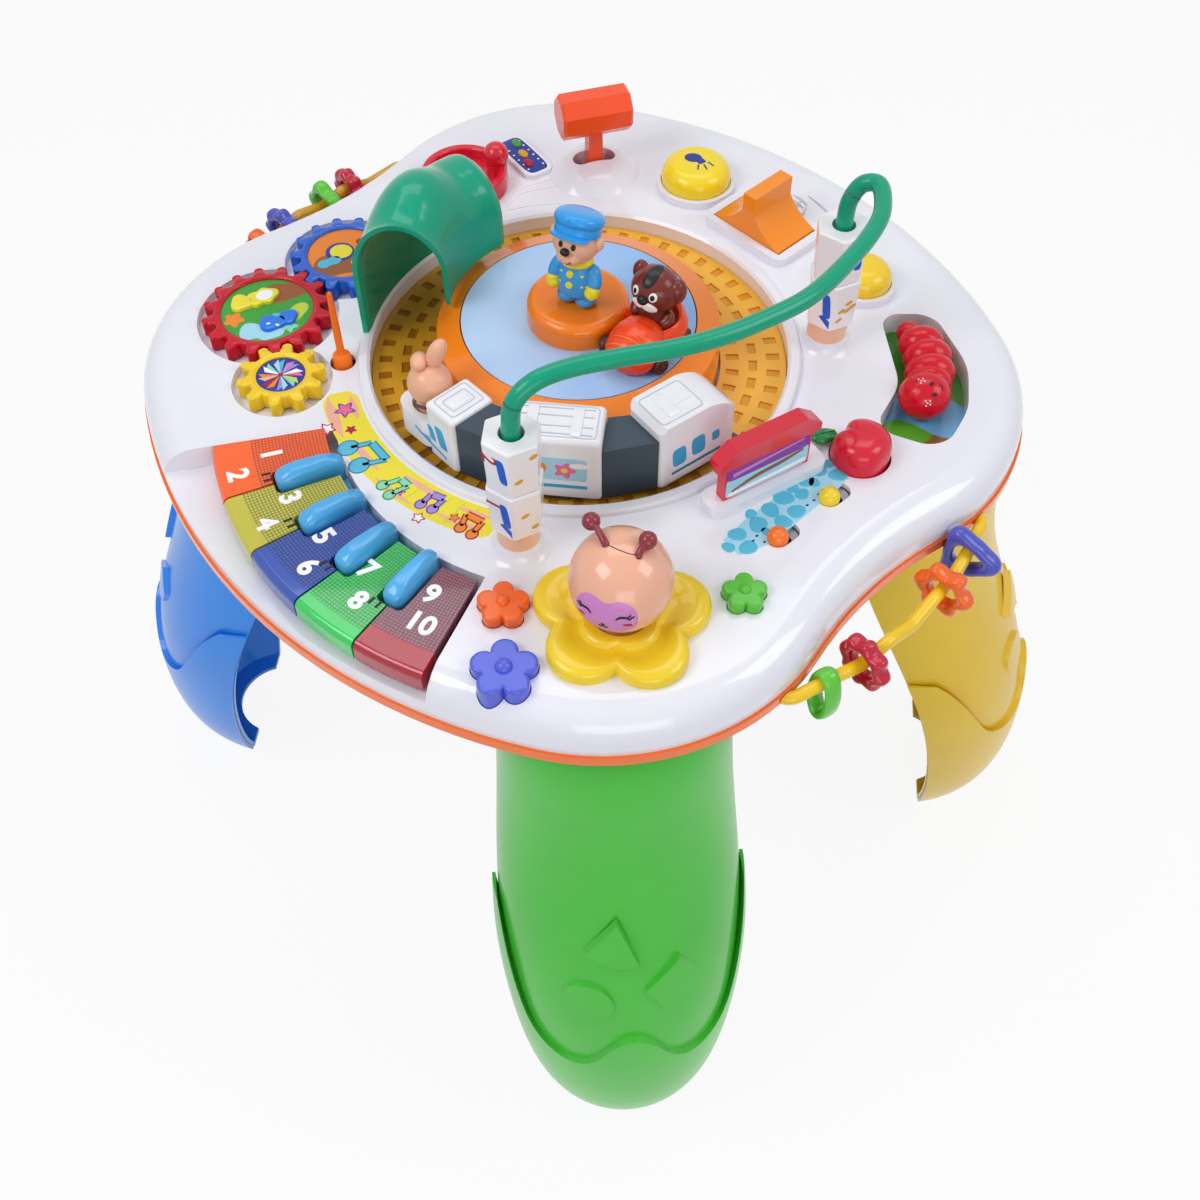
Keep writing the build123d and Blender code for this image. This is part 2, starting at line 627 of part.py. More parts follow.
bottom_cover.part.label = "bottom_cover"
export_step(bottom_cover.part, "parts/bottom_cover.step")

with BuildPart() as battery_door:
    with BuildSketch(Plane.XY.offset(COVER_Z)):
        with Locations(battery_place):
            Rectangle(BATTERY_L - 2 * SLIP, BATTERY_W - 2 * SLIP)
    extrude(amount=COVER_T)
    with BuildSketch(Plane.XY.offset(COVER_Z)):
        with Locations(battery_place):
            with GridLocations(0, 5, 1, 5):
                Rectangle(18, 2)
    extrude(amount=0.8, mode=Mode.SUBTRACT)
battery_door.part.label = "battery_door"
export_step(battery_door.part, "parts/battery_door.step")

# circuit board with its components, and the loudspeaker
with BuildPart() as sound_unit:
    with BuildSketch(Plane.XY.offset(COVER_Z + COVER_T + BOARD_LIFT)):
        with Locations(Location((*BOARD_C, 0), (0, 0, 45))):
            Rectangle(BOARD_L, BOARD_W)
    extrude(amount=BOARD_T)
    with BuildSketch(Plane.XY.offset(COVER_Z + COVER_T + BOARD_LIFT + BOARD_T)):
        with Locations(Location((*BOARD_C, 0), (0, 0, 45))):
            Rectangle(14, 14)
            with Locations((22, 8), (-22, -8)):
                Rectangle(8, 5)
    extrude(amount=2)
    with BuildSketch(Plane.XY.offset(COVER_Z + COVER_T)):
        with Locations(SPEAKER_C):
            Circle(SPEAKER_R)
    extrude(amount=3)
    with BuildSketch(Plane.XY.offset(COVER_Z + COVER_T + 3)):
        with Locations(SPEAKER_C):
            Circle(SPEAKER_R * 0.55)
    extrude(amount=SPEAKER_H - 3, taper=8)
sound_unit.part.label = "sound_unit"
export_step(sound_unit.part, "parts/sound_unit.step")

with BuildPart() as screws:
    with BuildSketch(Plane.XY.offset(COVER_Z)):
        with Locations(*SCREWS):
            Circle(SCREW_HEAD_R)
    extrude(amount=SCREW_HEAD_H)
    with BuildSketch(Plane.XY.offset(COVER_Z + SCREW_HEAD_H)):
        with Locations(*SCREWS):
            Circle(SCREW_R)
    extrude(amount=SCREW_DEPTH + SHELL_Z - COVER_Z - SCREW_HEAD_H - 3)
screws.part.label = "screws"
export_step(screws.part, "parts/screws.step")


# ---------------------------------------------------------------- legs
def leg_loft(azimuth, grow, thickness, edge, low_z, high_z):
    """Curved wall through the leg's sections: grow moves it outwards, edge trims its side edges."""
    with BuildPart() as wall:
        for height, reach, side_reach, half in LEG_SECTIONS:
            if not low_z <= height <= high_z:
                continue
            plane = Plane(origin=(0, 0, height), x_dir=(*at(1, azimuth), 0), z_dir=(0, 0, 1))
            side = side_reach + edge
            with BuildSketch(plane):
                with BuildLine():
                    ThreePointArc((side, -half - grow), (reach + grow, 0), (side, half + grow))
                    inner = half + grow - thickness
                    ThreePointArc((side, -inner), (reach + grow - thickness, 0), (side, inner))
                    Line((side, -half - grow), (side, -inner))
                    Line((side, half + grow), (side, inner))
                make_face()
        loft()
    return wall.part


def leg(azimuth):
    """Curved shell that bulges outwards, with an inner lip at the foot and a wavy shoe round it."""
    wall = leg_loft(azimuth, 0, LEG_WALL, 0, 0, COVER_Z)
    shoe = leg_loft(azimuth, SHOE_OUT, SHOE_OUT + LEG_WALL / 2, 0.6, 0, 200)
    height, reach, side_reach, half = LEG_SECTIONS[0]
    upright = Plane(origin=(0, 0, 0), x_dir=(*at(1, azimuth + 90), 0), z_dir=(*at(1, azimuth), 0))
    with BuildPart() as wave:
        with BuildSketch(upright):
            with BuildLine():
                Spline(*[(-side, height) for side, height in SHOE_RIM[:0:-1]], *SHOE_RIM)
                side, height = SHOE_RIM[-1]
                Polyline((-side, height), (-side, 330), (side, 330), (side, height))
            make_face()
        extrude(amount=400)
    raised = leg_loft(azimuth, SHAPE_OUT, SHAPE_OUT + LEG_WALL / 2, 0.6, 105, COVER_Z)
    with BuildPart() as shapes:
        with BuildSketch(upright):
            Polygon((-7, 227), (4, 197), (-7, 195.5), (-25, 203), align=None)
            with Locations((-24, 166)):
                Ellipse(13.5, 13.5)
            Polygon((26, 193.5), (36.5, 178), (35, 168.5), (18, 159.5), (7, 176.5), align=None)
        extrude(amount=400)
        add(raised, mode=Mode.INTERSECT)
    with BuildPart() as shell:
        add(shoe)
        add(wave.part, mode=Mode.SUBTRACT)
        add(wall)
        add(shapes.part)
        with BuildSketch(upright):
            with Locations((0, NOTCH_Z)):
                Circle(NOTCH_R)
                Rectangle(4 * NOTCH_R, NOTCH_R, align=(Align.CENTER, Align.MIN), mode=Mode.SUBTRACT)
        extrude(amount=400, mode=Mode.SUBTRACT)
        with BuildSketch(Plane(origin=(0, 0, 0), x_dir=(*at(1, azimuth), 0), z_dir=(0, 0, 1))):
            with BuildLine():
                ThreePointArc((side_reach, -half), (reach, 0), (side_reach, half))
                ThreePointArc(
                    (side_reach, FOOT_LIP - half), (reach - FOOT_LIP, 0), (side_reach, half - FOOT_LIP)
                )
                Line((side_reach, -half), (side_reach, FOOT_LIP - half))
                Line((side_reach, half), (side_reach, half - FOOT_LIP))
            make_face()
        extrude(amount=LEG_WALL)
    return shell


LEG_AZIMUTHS = {
    "leg_front": 270 + LOBE_SKEW,
    "leg_right": -LOBE_SKEW,
    "leg_back": 90 + LOBE_SKEW,
    "leg_left": 180 - LOBE_SKEW,
}
for name, azimuth in LEG_AZIMUTHS.items():
    one_leg = leg(azimuth)
    one_leg.part.label = name
    export_step(one_leg.part, f"parts/{name}.step")


# ---------------------------------------------------------------- track, tunnel, carousel
with BuildPart() as track_plate:
    with BuildSketch(Plane.XY.offset(WELL_FLOOR_Z)):
        Circle(WELL_R - SLIP)
        Circle(TRACK_IN_R, mode=Mode.SUBTRACT)
    extrude(amount=TRACK_TOP_Z - WELL_FLOOR_Z)
    # three rows of small sunk fields, like basket weave
    with BuildSketch(Plane.XY.offset(TRACK_TOP_Z - 0.8)):
        with PolarLocations(83, 44):
            Rectangle(7, 4.5)
        with PolarLocations(94, 44, start_angle=4):
            Rectangle(4.5, 8)
        with PolarLocations(105, 52):
            Rectangle(7, 5)
    extrude(amount=2, mode=Mode.SUBTRACT)
track_plate.part.label = "track_plate"
export_step(track_plate.part, "parts/track_plate.step")


REAR_ROOF = (TUNNEL_HALF - TUNNEL_SHOULDER, REAR_TOP_Z)
HUMP_ROOF = (TUNNEL_HALF, HUMP_TOP_Z)
MOUTH_ROOF = (TUNNEL_HALF - TUNNEL_SHOULDER, MOUTH_TOP_Z)


def arch(outer, inner):
    """Cross-section of the tunnel: radius across, height up. Its outer foot stands on the lip."""
    outer_r, outer_top = outer
    inner_r, inner_top = inner[0] - TUNNEL_WALL, inner[1] - TUNNEL_WALL
    foot = DECK_Z + LIP_H
    spring = (TUNNEL_MID_R, TUNNEL_SPRING_Z)
    plane = Plane(
        origin=(0, 0, 0), x_dir=(*at(1, TUNNEL_ARC[0]), 0), z_dir=(*at(1, TUNNEL_ARC[0] - 90), 0)
    )
    with BuildSketch(plane) as flat:
        with BuildLine():
            Line((TUNNEL_MID_R + outer_r, foot), (TUNNEL_MID_R + outer_r, TUNNEL_SPRING_Z))
            EllipticalCenterArc(spring, outer_r, outer_top - TUNNEL_SPRING_Z, arc_size=180)
            Polyline(
                (TUNNEL_MID_R - outer_r, TUNNEL_SPRING_Z),
                (TUNNEL_MID_R - outer_r, TUNNEL_INNER_Z),
                (TUNNEL_MID_R - inner_r, TUNNEL_INNER_Z),
                (TUNNEL_MID_R - inner_r, TUNNEL_SPRING_Z),
            )
            EllipticalCenterArc(spring, inner_r, inner_top - TUNNEL_SPRING_Z, arc_size=180)
            Polyline(
                (TUNNEL_MID_R + inner_r, TUNNEL_SPRING_Z),
                (TUNNEL_MID_R + inner_r, foot),
                (TUNNEL_MID_R + outer_r, foot),
            )
        make_face()
    return flat.sketch


def arch_length(outer, inner, start, end):
    """A stretch of the tunnel between two azimuths."""
    with BuildPart() as stretch:
        add(arch(outer, inner))
        revolve(axis=Axis.Z, revolution_arc=end - start)
    return stretch.part.rotate(Axis.Z, start - TUNNEL_ARC[0])


# Stretches that meet face to face: each step in the roof is a wall as thick as the shell.
with BuildPart() as tunnel:
    rear_end, hump_end = TUNNEL_STEPS
    step = degrees(TUNNEL_WALL / TUNNEL_MID_R)
    add(arch_length(REAR_ROOF, REAR_ROOF, TUNNEL_ARC[0], rear_end))
    add(arch_length(HUMP_ROOF, REAR_ROOF, rear_end, rear_end + step))
    add(arch_length(HUMP_ROOF, HUMP_ROOF, rear_end + step, hump_end - step))
    add(arch_length(HUMP_ROOF, MOUTH_ROOF, hump_end - step, hump_end))
    add(arch_length(MOUTH_ROOF, MOUTH_ROOF, hump_end, TUNNEL_ARC[1]))
tunnel.part.label = "tunnel"
export_step(tunnel.part, "parts/tunnel.step")

with BuildPart() as carousel_ring:
    with BuildSketch(Plane.XZ):
        with BuildLine():
            hub_in = POST_R + RUN
            base = SHOULDER_Z + RUN
            Polyline(
                (RING_R, WELL_FLOOR_Z + 2),
                (RING_R, RING_EDGE_Z),
                (RING_IN_R, RING_TOP_Z),
                (RING_IN_R, RING_TOP_Z - RING_WALL),
                (RING_R - RING_WALL, RING_EDGE_Z - RING_WALL),
                (RING_R - RING_WALL, base + RING_WALL),
                (hub_in + HUB_WALL, base + RING_WALL),
                (hub_in + HUB_WALL, RING_HUB_Z),
                (hub_in, RING_HUB_Z),
                (hub_in, base),
                (RING_R - RING_WALL, base),
                (RING_R - RING_WALL, WELL_FLOOR_Z + 2),
                close=True,
            )
        make_face()
    revolve(axis=Axis.Z)
    fillet(carousel_ring.edges().filter_by(GeomType.CIRCLE).sort_by(Axis.Z)[-3:-2], 1.2)
carousel_ring.part.label = "carousel_ring"
export_step(carousel_ring.part, "parts/carousel_ring.step")

with BuildPart() as picture_disc:
    with BuildSketch(Plane.XY.offset(RING_TOP_Z - DISC_T)):
        Circle(DISC_R)
    extrude(amount=DISC_T)
    with BuildSketch(Plane.XY.offset(RING_HUB_Z + RUN)):
        Circle(POST_R + RUN + HUB_WALL)
        Circle(POST_R + RUN, mode=Mode.SUBTRACT)
    extrude(amount=RING_TOP_Z - DISC_T - RING_HUB_Z - RUN)
picture_disc.part.label = "picture_disc"
export_step(picture_disc.part, "parts/picture_disc.step")

PEDESTAL_TOP_Z = RING_TOP_Z + PEDESTAL_H
with BuildPart() as pedestal:
    with BuildSketch(Plane.XY.offset(RING_TOP_Z)):
        Circle(PEDESTAL_R)
    extrude(amount=PEDESTAL_H)
    fillet(pedestal.faces().sort_by(Axis.Z)[-1].edges(), 5.5)
pedestal.part.label = "pedestal"
export_step(pedestal.part, "parts/pedestal.step")

# The driver stands on the pedestal: legs, body, arms, head, cap.
DRIVER_X, DRIVER_Y = 0.0, -6.0
CAP_TOP_Z = PEDESTAL_TOP_Z + FIGURE_H
with BuildPart() as driver_figure:
    with BuildSketch(Plane.XY.offset(PEDESTAL_TOP_Z)):
        with Locations((DRIVER_X - 5.6, DRIVER_Y), (DRIVER_X + 5.6, DRIVER_Y)):
            Ellipse(5.2, 6.8)
    extrude(amount=11)
    with BuildSketch(Plane.XZ.offset(-DRIVER_Y)):
        with BuildLine():
            Polyline(
                (DRIVER_X, PEDESTAL_TOP_Z + 8),
                (DRIVER_X + 9.5, PEDESTAL_TOP_Z + 8),
                (DRIVER_X + 11, PEDESTAL_TOP_Z + 13),
                (DRIVER_X + 10, PEDESTAL_TOP_Z + 20),
                (DRIVER_X + 7, PEDESTAL_TOP_Z + 28),
                (DRIVER_X, PEDESTAL_TOP_Z + 30),
                close=True,
            )
        make_face()
    revolve(axis=Axis((DRIVER_X, DRIVER_Y, 0), (0, 0, 1)))
    with Locations((DRIVER_X, DRIVER_Y, CAP_TOP_Z - 22)):
        Sphere(11.8)
    with Locations(
        (DRIVER_X - 11, DRIVER_Y, CAP_TOP_Z - 19), (DRIVER_X + 11, DRIVER_Y, CAP_TOP_Z - 19)
    ):
        Sphere(3.4)
    with Locations((DRIVER_X, DRIVER_Y - 9.5, CAP_TOP_Z - 25)):
        Sphere(5)
    for side in (-1, 1):
        with Locations((DRIVER_X + side * 12, DRIVER_Y - 2, CAP_TOP_Z - 40)):
            Sphere(4.4)
        with Locations((DRIVER_X + side * 11, DRIVER_Y - 5, CAP_TOP_Z - 46)):
            Sphere(3.8)
    with BuildSketch(Plane.XY.offset(CAP_TOP_Z - 17)):
        with Locations((DRIVER_X, DRIVER_Y)):
            Circle(12.2)
        with Locations((DRIVER_X, DRIVER_Y - 7)):
            Ellipse(11.4, 9)
    extrude(amount=2.4)
    with BuildSketch(Plane.XY.offset(CAP_TOP_Z - 15)):
        with Locations((DRIVER_X, DRIVER_Y)):
            Circle(12)
    extrude(amount=9)
    with BuildSketch(Plane.XY.offset(CAP_TOP_Z - 7)):
        with Locations((DRIVER_X, DRIVER_Y)):
            Circle(13.4)
    extrude(amount=7)
    fillet(driver_figure.faces().sort_by(Axis.Z)[-1].edges(), 4)
driver_figure.part.label = "driver_figure"
export_step(driver_figure.part, "parts/driver_figure.step")

# A carrot-shaped car on wheels, with an animal seated in its back.
CARROT_C = (37.4, -28.7)
CARROT_TURN = 9.0
ANIMAL_C = (39.5, -17.5)
ANIMAL_R = 9.0
CARROT_PLANE = Plane(
    origin=(*CARROT_C, RING_TOP_Z), x_dir=(*at(1, CARROT_TURN), 0), z_dir=(*at(1, CARROT_TURN - 90), 0)
)
SEAT_Z = RING_TOP_Z + 7
with BuildPart() as carrot_car:
    with BuildSketch(CARROT_PLANE):
        with BuildLine():
            Polyline((-23, 13), (-23, 11), (22, 11), (22, 14))
            ThreePointArc((22, 14), (17, 19.8), (9, 21.5))
            ThreePointArc((9, 21.5), (-8, 19), (-23, 13))
        make_face()
    revolve(axis=Axis((*CARROT_C, RING_TOP_Z + 11), (*at(1, CARROT_TURN), 0)))
    # wheels on both sides, front and back
    for along, wheel_r in ((-12.0, 5.5), (10.0, 6.0)):
        with BuildSketch(CARROT_PLANE):
            with Locations((along, wheel_r)):
                Circle(wheel_r)
        extrude(amount=10.5, both=True)
    # cockpit tub and seat
    with BuildSketch(Plane.XY.offset(RING_TOP_Z + 4)):
        with Locations(ANIMAL_C):
            Circle(ANIMAL_R + 2.5)
    extrude(amount=11)
    with BuildSketch(Plane.XY.offset(SEAT_Z)):
        with Locations(ANIMAL_C):
            Circle(ANIMAL_R + SLIP)
    extrude(amount=40, mode=Mode.SUBTRACT)
    with BuildSketch(Plane.XY.offset(SEAT_Z + 14)):
        with Locations(ANIMAL_C):
            Circle(12.5)
    extrude(amount=40, mode=Mode.SUBTRACT)
carrot_car.part.label = "carrot_car"
export_step(carrot_car.part, "parts/carrot_car.step")

with BuildPart() as animal_figure:
    with BuildSketch(Plane.XY.offset(SEAT_Z)):
        with Locations(ANIMAL_C):
            Circle(ANIMAL_R)
    extrude(amount=20)
    with Locations((*ANIMAL_C, RING_TOP_Z + 37)):
        Sphere(11)
    with Locations((ANIMAL_C[0] - 2, ANIMAL_C[1] - 8, RING_TOP_Z + 33)):
        Sphere(5)
    with Locations(
        (ANIMAL_C[0] - 8, ANIMAL_C[1] + 1, RING_TOP_Z + 46), (ANIMAL_C[0] + 8, ANIMAL_C[1] + 1, RING_TOP_Z + 46)
    ):
        Sphere(2.6)
animal_figure.part.label = "animal_figure"
export_step(animal_figure.part, "parts/animal_figure.step")

# ---------------------------------------------------------------- train
CAR_MID_R = (CAR_IN_R + CAR_OUT_R) / 2
CAR_W = CAR_OUT_R - CAR_IN_R
CHASSIS_TOP_Z = CAR_FLOOR_Z


def car_length(arc):
    """Length of a straight car that fills an arc of the track."""
    return 2 * CAR_MID_R * sin(radians((arc[1] - arc[0]) / 2)) / cos(radians((arc[1] - arc[0]) / 2))


def car_plane(arc, height=0.0):
    """Plan of a car: x along the track, y towards the table axis."""
    middle = (arc[0] + arc[1]) / 2
    return Plane(
        origin=(*at(CAR_MID_R, middle), height), x_dir=(*at(1, middle + 90), 0), z_dir=(0, 0, 1)
    )


def car_side(arc):
    """Side view of a car: x along the track, y up."""
    middle = (arc[0] + arc[1]) / 2
    return Plane(
        origin=(*at(CAR_MID_R, middle), 0), x_dir=(*at(1, middle + 90), 0), z_dir=(*at(1, middle), 0)
    )


with BuildPart() as train_middle_car:
    with BuildSketch(car_plane(MIDDLE_CAR, CAR_FLOOR_Z)):
        RectangleRounded(car_length(MIDDLE_CAR), CAR_W, 3)
    extrude(amount=CAR_ROOF_Z - CAR_FLOOR_Z)
    fillet(train_middle_car.faces().sort_by(Axis.Z)[-1].edges(), 2.9)
train_middle_car.part.label = "train_middle_car"
export_step(train_middle_car.part, "parts/train_middle_car.step")

SEAT_X = 2.4              # where the cab of the rear car begins, from the car's middle
CAB_TOP_Z = 415.0
TUB_FLOOR_Z = 389.0
PASSENGER_X = -10.0
with BuildPart() as train_rear_car:
    with BuildSketch(car_plane(REAR_CAR, CAR_FLOOR_Z)):
        with Locations((-car_length(REAR_CAR) / 4 + SEAT_X / 2 + 1, 0)):
            RectangleRounded(car_length(REAR_CAR) / 2 + SEAT_X + 2, CAR_W, 8)
    extrude(amount=SEAT_SIDE_Z - CAR_FLOOR_Z)
    with BuildSketch(car_plane(REAR_CAR, CAR_FLOOR_Z)):
        with Locations(((car_length(REAR_CAR) / 2 + SEAT_X) / 2, 0)):
            RectangleRounded(car_length(REAR_CAR) / 2 - SEAT_X, CAR_W, 2.6)
    extrude(amount=CAB_TOP_Z - CAR_FLOOR_Z)
    fillet(train_rear_car.faces().sort_by(Axis.Z)[-1].edges(), 2.5)
    with BuildSketch(car_plane(REAR_CAR, TUB_FLOOR_Z)):
        with Locations((PASSENGER_X, 0)):
            Circle(10.2)
    extrude(amount=SEAT_SIDE_Z, mode=Mode.SUBTRACT)
train_rear_car.part.label = "train_rear_car"
export_step(train_rear_car.part, "parts/train_rear_car.step")

# The passenger sits in the rear car's tub.
PASSENGER_C = car_plane(REAR_CAR).from_local_coords((PASSENGER_X, 0, 0))
with BuildPart() as passenger:
    with BuildSketch(Plane.XY.offset(TUB_FLOOR_Z)):
        with Locations((PASSENGER_C.X, PASSENGER_C.Y)):
            Circle(8)
    extrude(amount=12)
    with Locations((PASSENGER_C.X, PASSENGER_C.Y, 411)):
        Sphere(11.6)
    for x, y, height in ((-3.5, 3, 37), (3.5, 3, 38), (5, 4, 43)):
        with Locations((PASSENGER_C.X + x, PASSENGER_C.Y + y, TUB_FLOOR_Z + height)):
            Sphere(5)
passenger.part.label = "passenger"
export_step(passenger.part, "parts/passenger.step")

engine_l = car_length(ENGINE)
with BuildPart() as train_engine:
    with BuildSketch(car_plane(ENGINE, CAR_FLOOR_Z)):
        with Locations((-5, 0)):
            RectangleRounded(engine_l - 10, CAR_W, 3)
        with Locations((engine_l / 2 - 16, 0)):
            Ellipse(16, CAR_W / 2)
    extrude(amount=CAR_ROOF_Z - CAR_FLOOR_Z + 1)
    with BuildSketch(car_side(ENGINE)):
        with BuildLine():
            Polyline(
                (engine_l / 2, CAR_FLOOR_Z + 11),
                (engine_l / 2, CAR_FLOOR_Z),
                (-engine_l / 2, CAR_FLOOR_Z),
                (-engine_l / 2, CAR_ROOF_Z - 3),
                (-engine_l / 2 + 3, CAR_ROOF_Z + 1),
                (2, CAR_ROOF_Z + 1),
            )
            ThreePointArc(
                (2, CAR_ROOF_Z + 1),
                (engine_l / 2 - 7.5, CAR_FLOOR_Z + 30),
                (engine_l / 2, CAR_FLOOR_Z + 11),
            )
        make_face()
    extrude(amount=CAR_W, both=True, mode=Mode.INTERSECT)
train_engine.part.label = "train_engine"
export_step(train_engine.part, "parts/train_engine.step")

# Dark chassis: floor plate, couplers that fill the gaps between the cars, wheels.
with BuildPart() as train_chassis:
    with BuildSketch(Plane.XY.offset(CHASSIS_Z)):
        add(sector(RING_R + SLIP, CAR_OUT_R - 1.5, REAR_CAR[0] + 1, ENGINE[1] - 1))
    extrude(amount=CHASSIS_TOP_Z - CHASSIS_Z)
    for back, front in ((REAR_CAR, MIDDLE_CAR), (MIDDLE_CAR, ENGINE)):
        ends = []
        for arc, end in ((back, 1), (front, -1)):
            x = end * (car_length(arc) / 2 + SLIP)
            for y in (-CAR_W / 2 + 2, CAR_W / 2 - 2):
                point = car_plane(arc).from_local_coords((x, y, 0))
                ends.append((point.X, point.Y))
        with BuildSketch(Plane.XY.offset(CHASSIS_TOP_Z - 1)):
            Polygon(ends[0], ends[1], ends[3], ends[2], align=None)
        extrude(amount=COUPLER_TOP_Z - CHASSIS_TOP_Z + 1)
    for arc in (REAR_CAR, MIDDLE_CAR, ENGINE):
        for x in (-car_length(arc) / 3, car_length(arc) / 4):
            with BuildSketch(car_side(arc)):
                with Locations((x, TRACK_TOP_Z + RUN + WHEEL_R / 2)):
                    Circle(WHEEL_R / 2)
            extrude(amount=CAR_W / 2 - 3, both=True)
    with BuildSketch(Plane.XY.offset(CHASSIS_TOP_Z)):
        for arc in (REAR_CAR, MIDDLE_CAR, ENGINE):
            middle = car_plane(arc)
            with Locations(middle):
                Rectangle(car_length(arc) + SLIP, CAR_W + 8)
    extrude(amount=2, mode=Mode.SUBTRACT)
train_chassis.part.label = "train_chassis"
export_step(train_chassis.part, "parts/train_chassis.step")

# ---------------------------------------------------------------- towers and bead arch
COLLAR_Z = DECK_Z + FOOT_H
BLOCK_Z = COLLAR_Z + COLLAR_H + RUN
TUBE_APEX_Z = BLOCK_Z + 2 * BLOCK_H + RUN + TUBE_RISE
with BuildPart() as tower_collars:
    for tower in (TOWER_FRONT, TOWER_RIGHT):
        with BuildSketch(Plane.XY.offset(COLLAR_Z)):
            with Locations(tower):
                Circle(COLLAR_R)
        extrude(amount=COLLAR_H)
    fillet(tower_collars.faces().group_by(Axis.Z)[-1].edges(), 1.5)
    with BuildSketch(Plane.XY.offset(COLLAR_Z)):
        with Locations(TOWER_FRONT, TOWER_RIGHT):
            Circle(TUBE_R + SLIP)
    extrude(amount=COLLAR_H, mode=Mode.SUBTRACT)
tower_collars.part.label = "tower_collars"
export_step(tower_collars.part, "parts/tower_collars.step")


def number_block(tower, low_z, turn):
    """Six-sided block that turns on the arch tube, a little wider at its top."""
    with BuildPart() as block:
        with BuildSketch(Plane.XY.offset(low_z)):
            with Locations(tower):
                RegularPolygon(BLOCK_LOW_R, 6, rotation=turn)
        with BuildSketch(Plane.XY.offset(low_z + BLOCK_H)):
            with Locations(tower):
                RegularPolygon(BLOCK_TOP_R, 6, rotation=turn)
        loft()
        fillet(block.edges().filter_by(lambda edge: abs(edge.center().Z - low_z - BLOCK_H / 2) < 1), 2)
        fillet(block.faces().sort_by(Axis.Z)[-1].edges(), 1.2)
        with BuildSketch(Plane.XY.offset(low_z - 1)):
            with Locations(tower):
                Circle(BLOCK_BORE_R)
        extrude(amount=BLOCK_H + 2, mode=Mode.SUBTRACT)
    return block


BLOCKS = {
    "number_block_1": (TOWER_FRONT, BLOCK_Z),
    "number_block_2": (TOWER_FRONT, BLOCK_Z + BLOCK_H + RUN),
    "number_block_3": (TOWER_RIGHT, BLOCK_Z + BLOCK_H + RUN),
    "number_block_4": (TOWER_RIGHT, BLOCK_Z),
}
for name, (tower, low_z) in BLOCKS.items():
    block = number_block(tower, low_z, 25)
    block.part.label = name
    export_step(block.part, f"parts/{name}.step")

TUBE_ROUTE = (
    (*TOWER_FRONT, DECK_Z),
    (*TOWER_FRONT, TUBE_APEX_Z),
    (3.0, -124.0, TUBE_APEX_Z + 1),
    (52.0, -112.0, TUBE_APEX_Z),
    (105.0, -88.0, TUBE_APEX_Z),
    (147.0, -45.0, TUBE_APEX_Z - 1),
    (153.0, 14.0, TUBE_APEX_Z - 1),
    (*TOWER_RIGHT, TUBE_APEX_Z - 3),
    (*TOWER_RIGHT, DECK_Z),
)
TUBE_BENDS = (13.0, 40.0, 90.0, 80.0, 45.0, 12.0, 9.0)
with BuildPart() as bead_tube:
    with BuildLine() as tube_line:
        FilletPolyline(*TUBE_ROUTE, radius=TUBE_BENDS)
    with BuildSketch(Plane(origin=TUBE_ROUTE[0], z_dir=(0, 0, 1))):
        Circle(TUBE_R)
    sweep()
bead_tube.part.label = "bead_tube"
export_step(bead_tube.part, "parts/bead_tube.step")

# ---------------------------------------------------------------- bead rods and beads
with BuildPart() as bead_rods:
    for middle in (-45.0, 135.0):
        reach = [at(ROD_R - 26, middle + 1.12 * ROD_STEPS[0])]
        reach += [at(ROD_R, middle + step) for step in ROD_STEPS]
        reach += [at(ROD_R - 26, middle + 1.12 * ROD_STEPS[-1])]
        waves = [0, 0] + [(-1) ** index * ROD_WAVE for index in range(len(ROD_STEPS) - 2)] + [0, 0]
        route = [(*point, ROD_Z + wave) for point, wave in zip(reach, waves)]
        with BuildLine():
            rod_line = FilletPolyline(*route, radius=9)
        with BuildSketch(Plane(origin=rod_line @ 0, z_dir=rod_line % 0)):
            Circle(ROD_THICK)
        sweep()
    with BuildSketch(Plane.XY.offset(RIM_Z - 10)):
        add(table_outline(-RIM_OUT - SLIP))
    extrude(amount=30, mode=Mode.SUBTRACT)
bead_rods.part.label = "bead_rods"
export_step(bead_rods.part, "parts/bead_rods.step")


def bead_plane(azimuth, hole_up):
    """Upright plane across a rod, centred so that the bead's hole hangs over the rod."""
    height = ROD_Z + ROD_WAVE + ROD_THICK + SLIP - hole_up
    return Plane(
        origin=(*at(ROD_R, azimuth), height), x_dir=(*at(1, azimuth), 0), z_dir=(*at(1, azimuth - 90), 0)
    )


def oval_bead(azimuth):
    """Tall oval ring."""
    with BuildPart() as bead:
        with BuildSketch(bead_plane(azimuth, 14.0)):
            SlotOverall(36, 17.6, rotation=90)
            SlotOverall(28, 9.6, rotation=90, mode=Mode.SUBTRACT)
        extrude(amount=BEAD_T / 2, both=True)
    return bead


def round_bead(azimuth, radius, bumps, bump_r):
    """Round ring with bumps on its rim."""
    with BuildPart() as bead:
        with BuildSketch(bead_plane(azimuth, 7.5)):
            Circle(radius - bump_r * 0.7)
            with PolarLocations(radius - bump_r, bumps):
                Circle(bump_r)
            Circle(7.5, mode=Mode.SUBTRACT)
        extrude(amount=BEAD_T / 2, both=True)
    return bead


def triangle_bead(azimuth):
    """Rounded triangle ring, one corner pointing away from the table."""
    with BuildPart() as bead:
        with BuildSketch(bead_plane(azimuth, 7.0)):
            triangle = RegularPolygon(21, 3)
            fillet(triangle.vertices(), 4)
            Circle(7.0, mode=Mode.SUBTRACT)
        extrude(amount=BEAD_T / 2, both=True)
    return bead


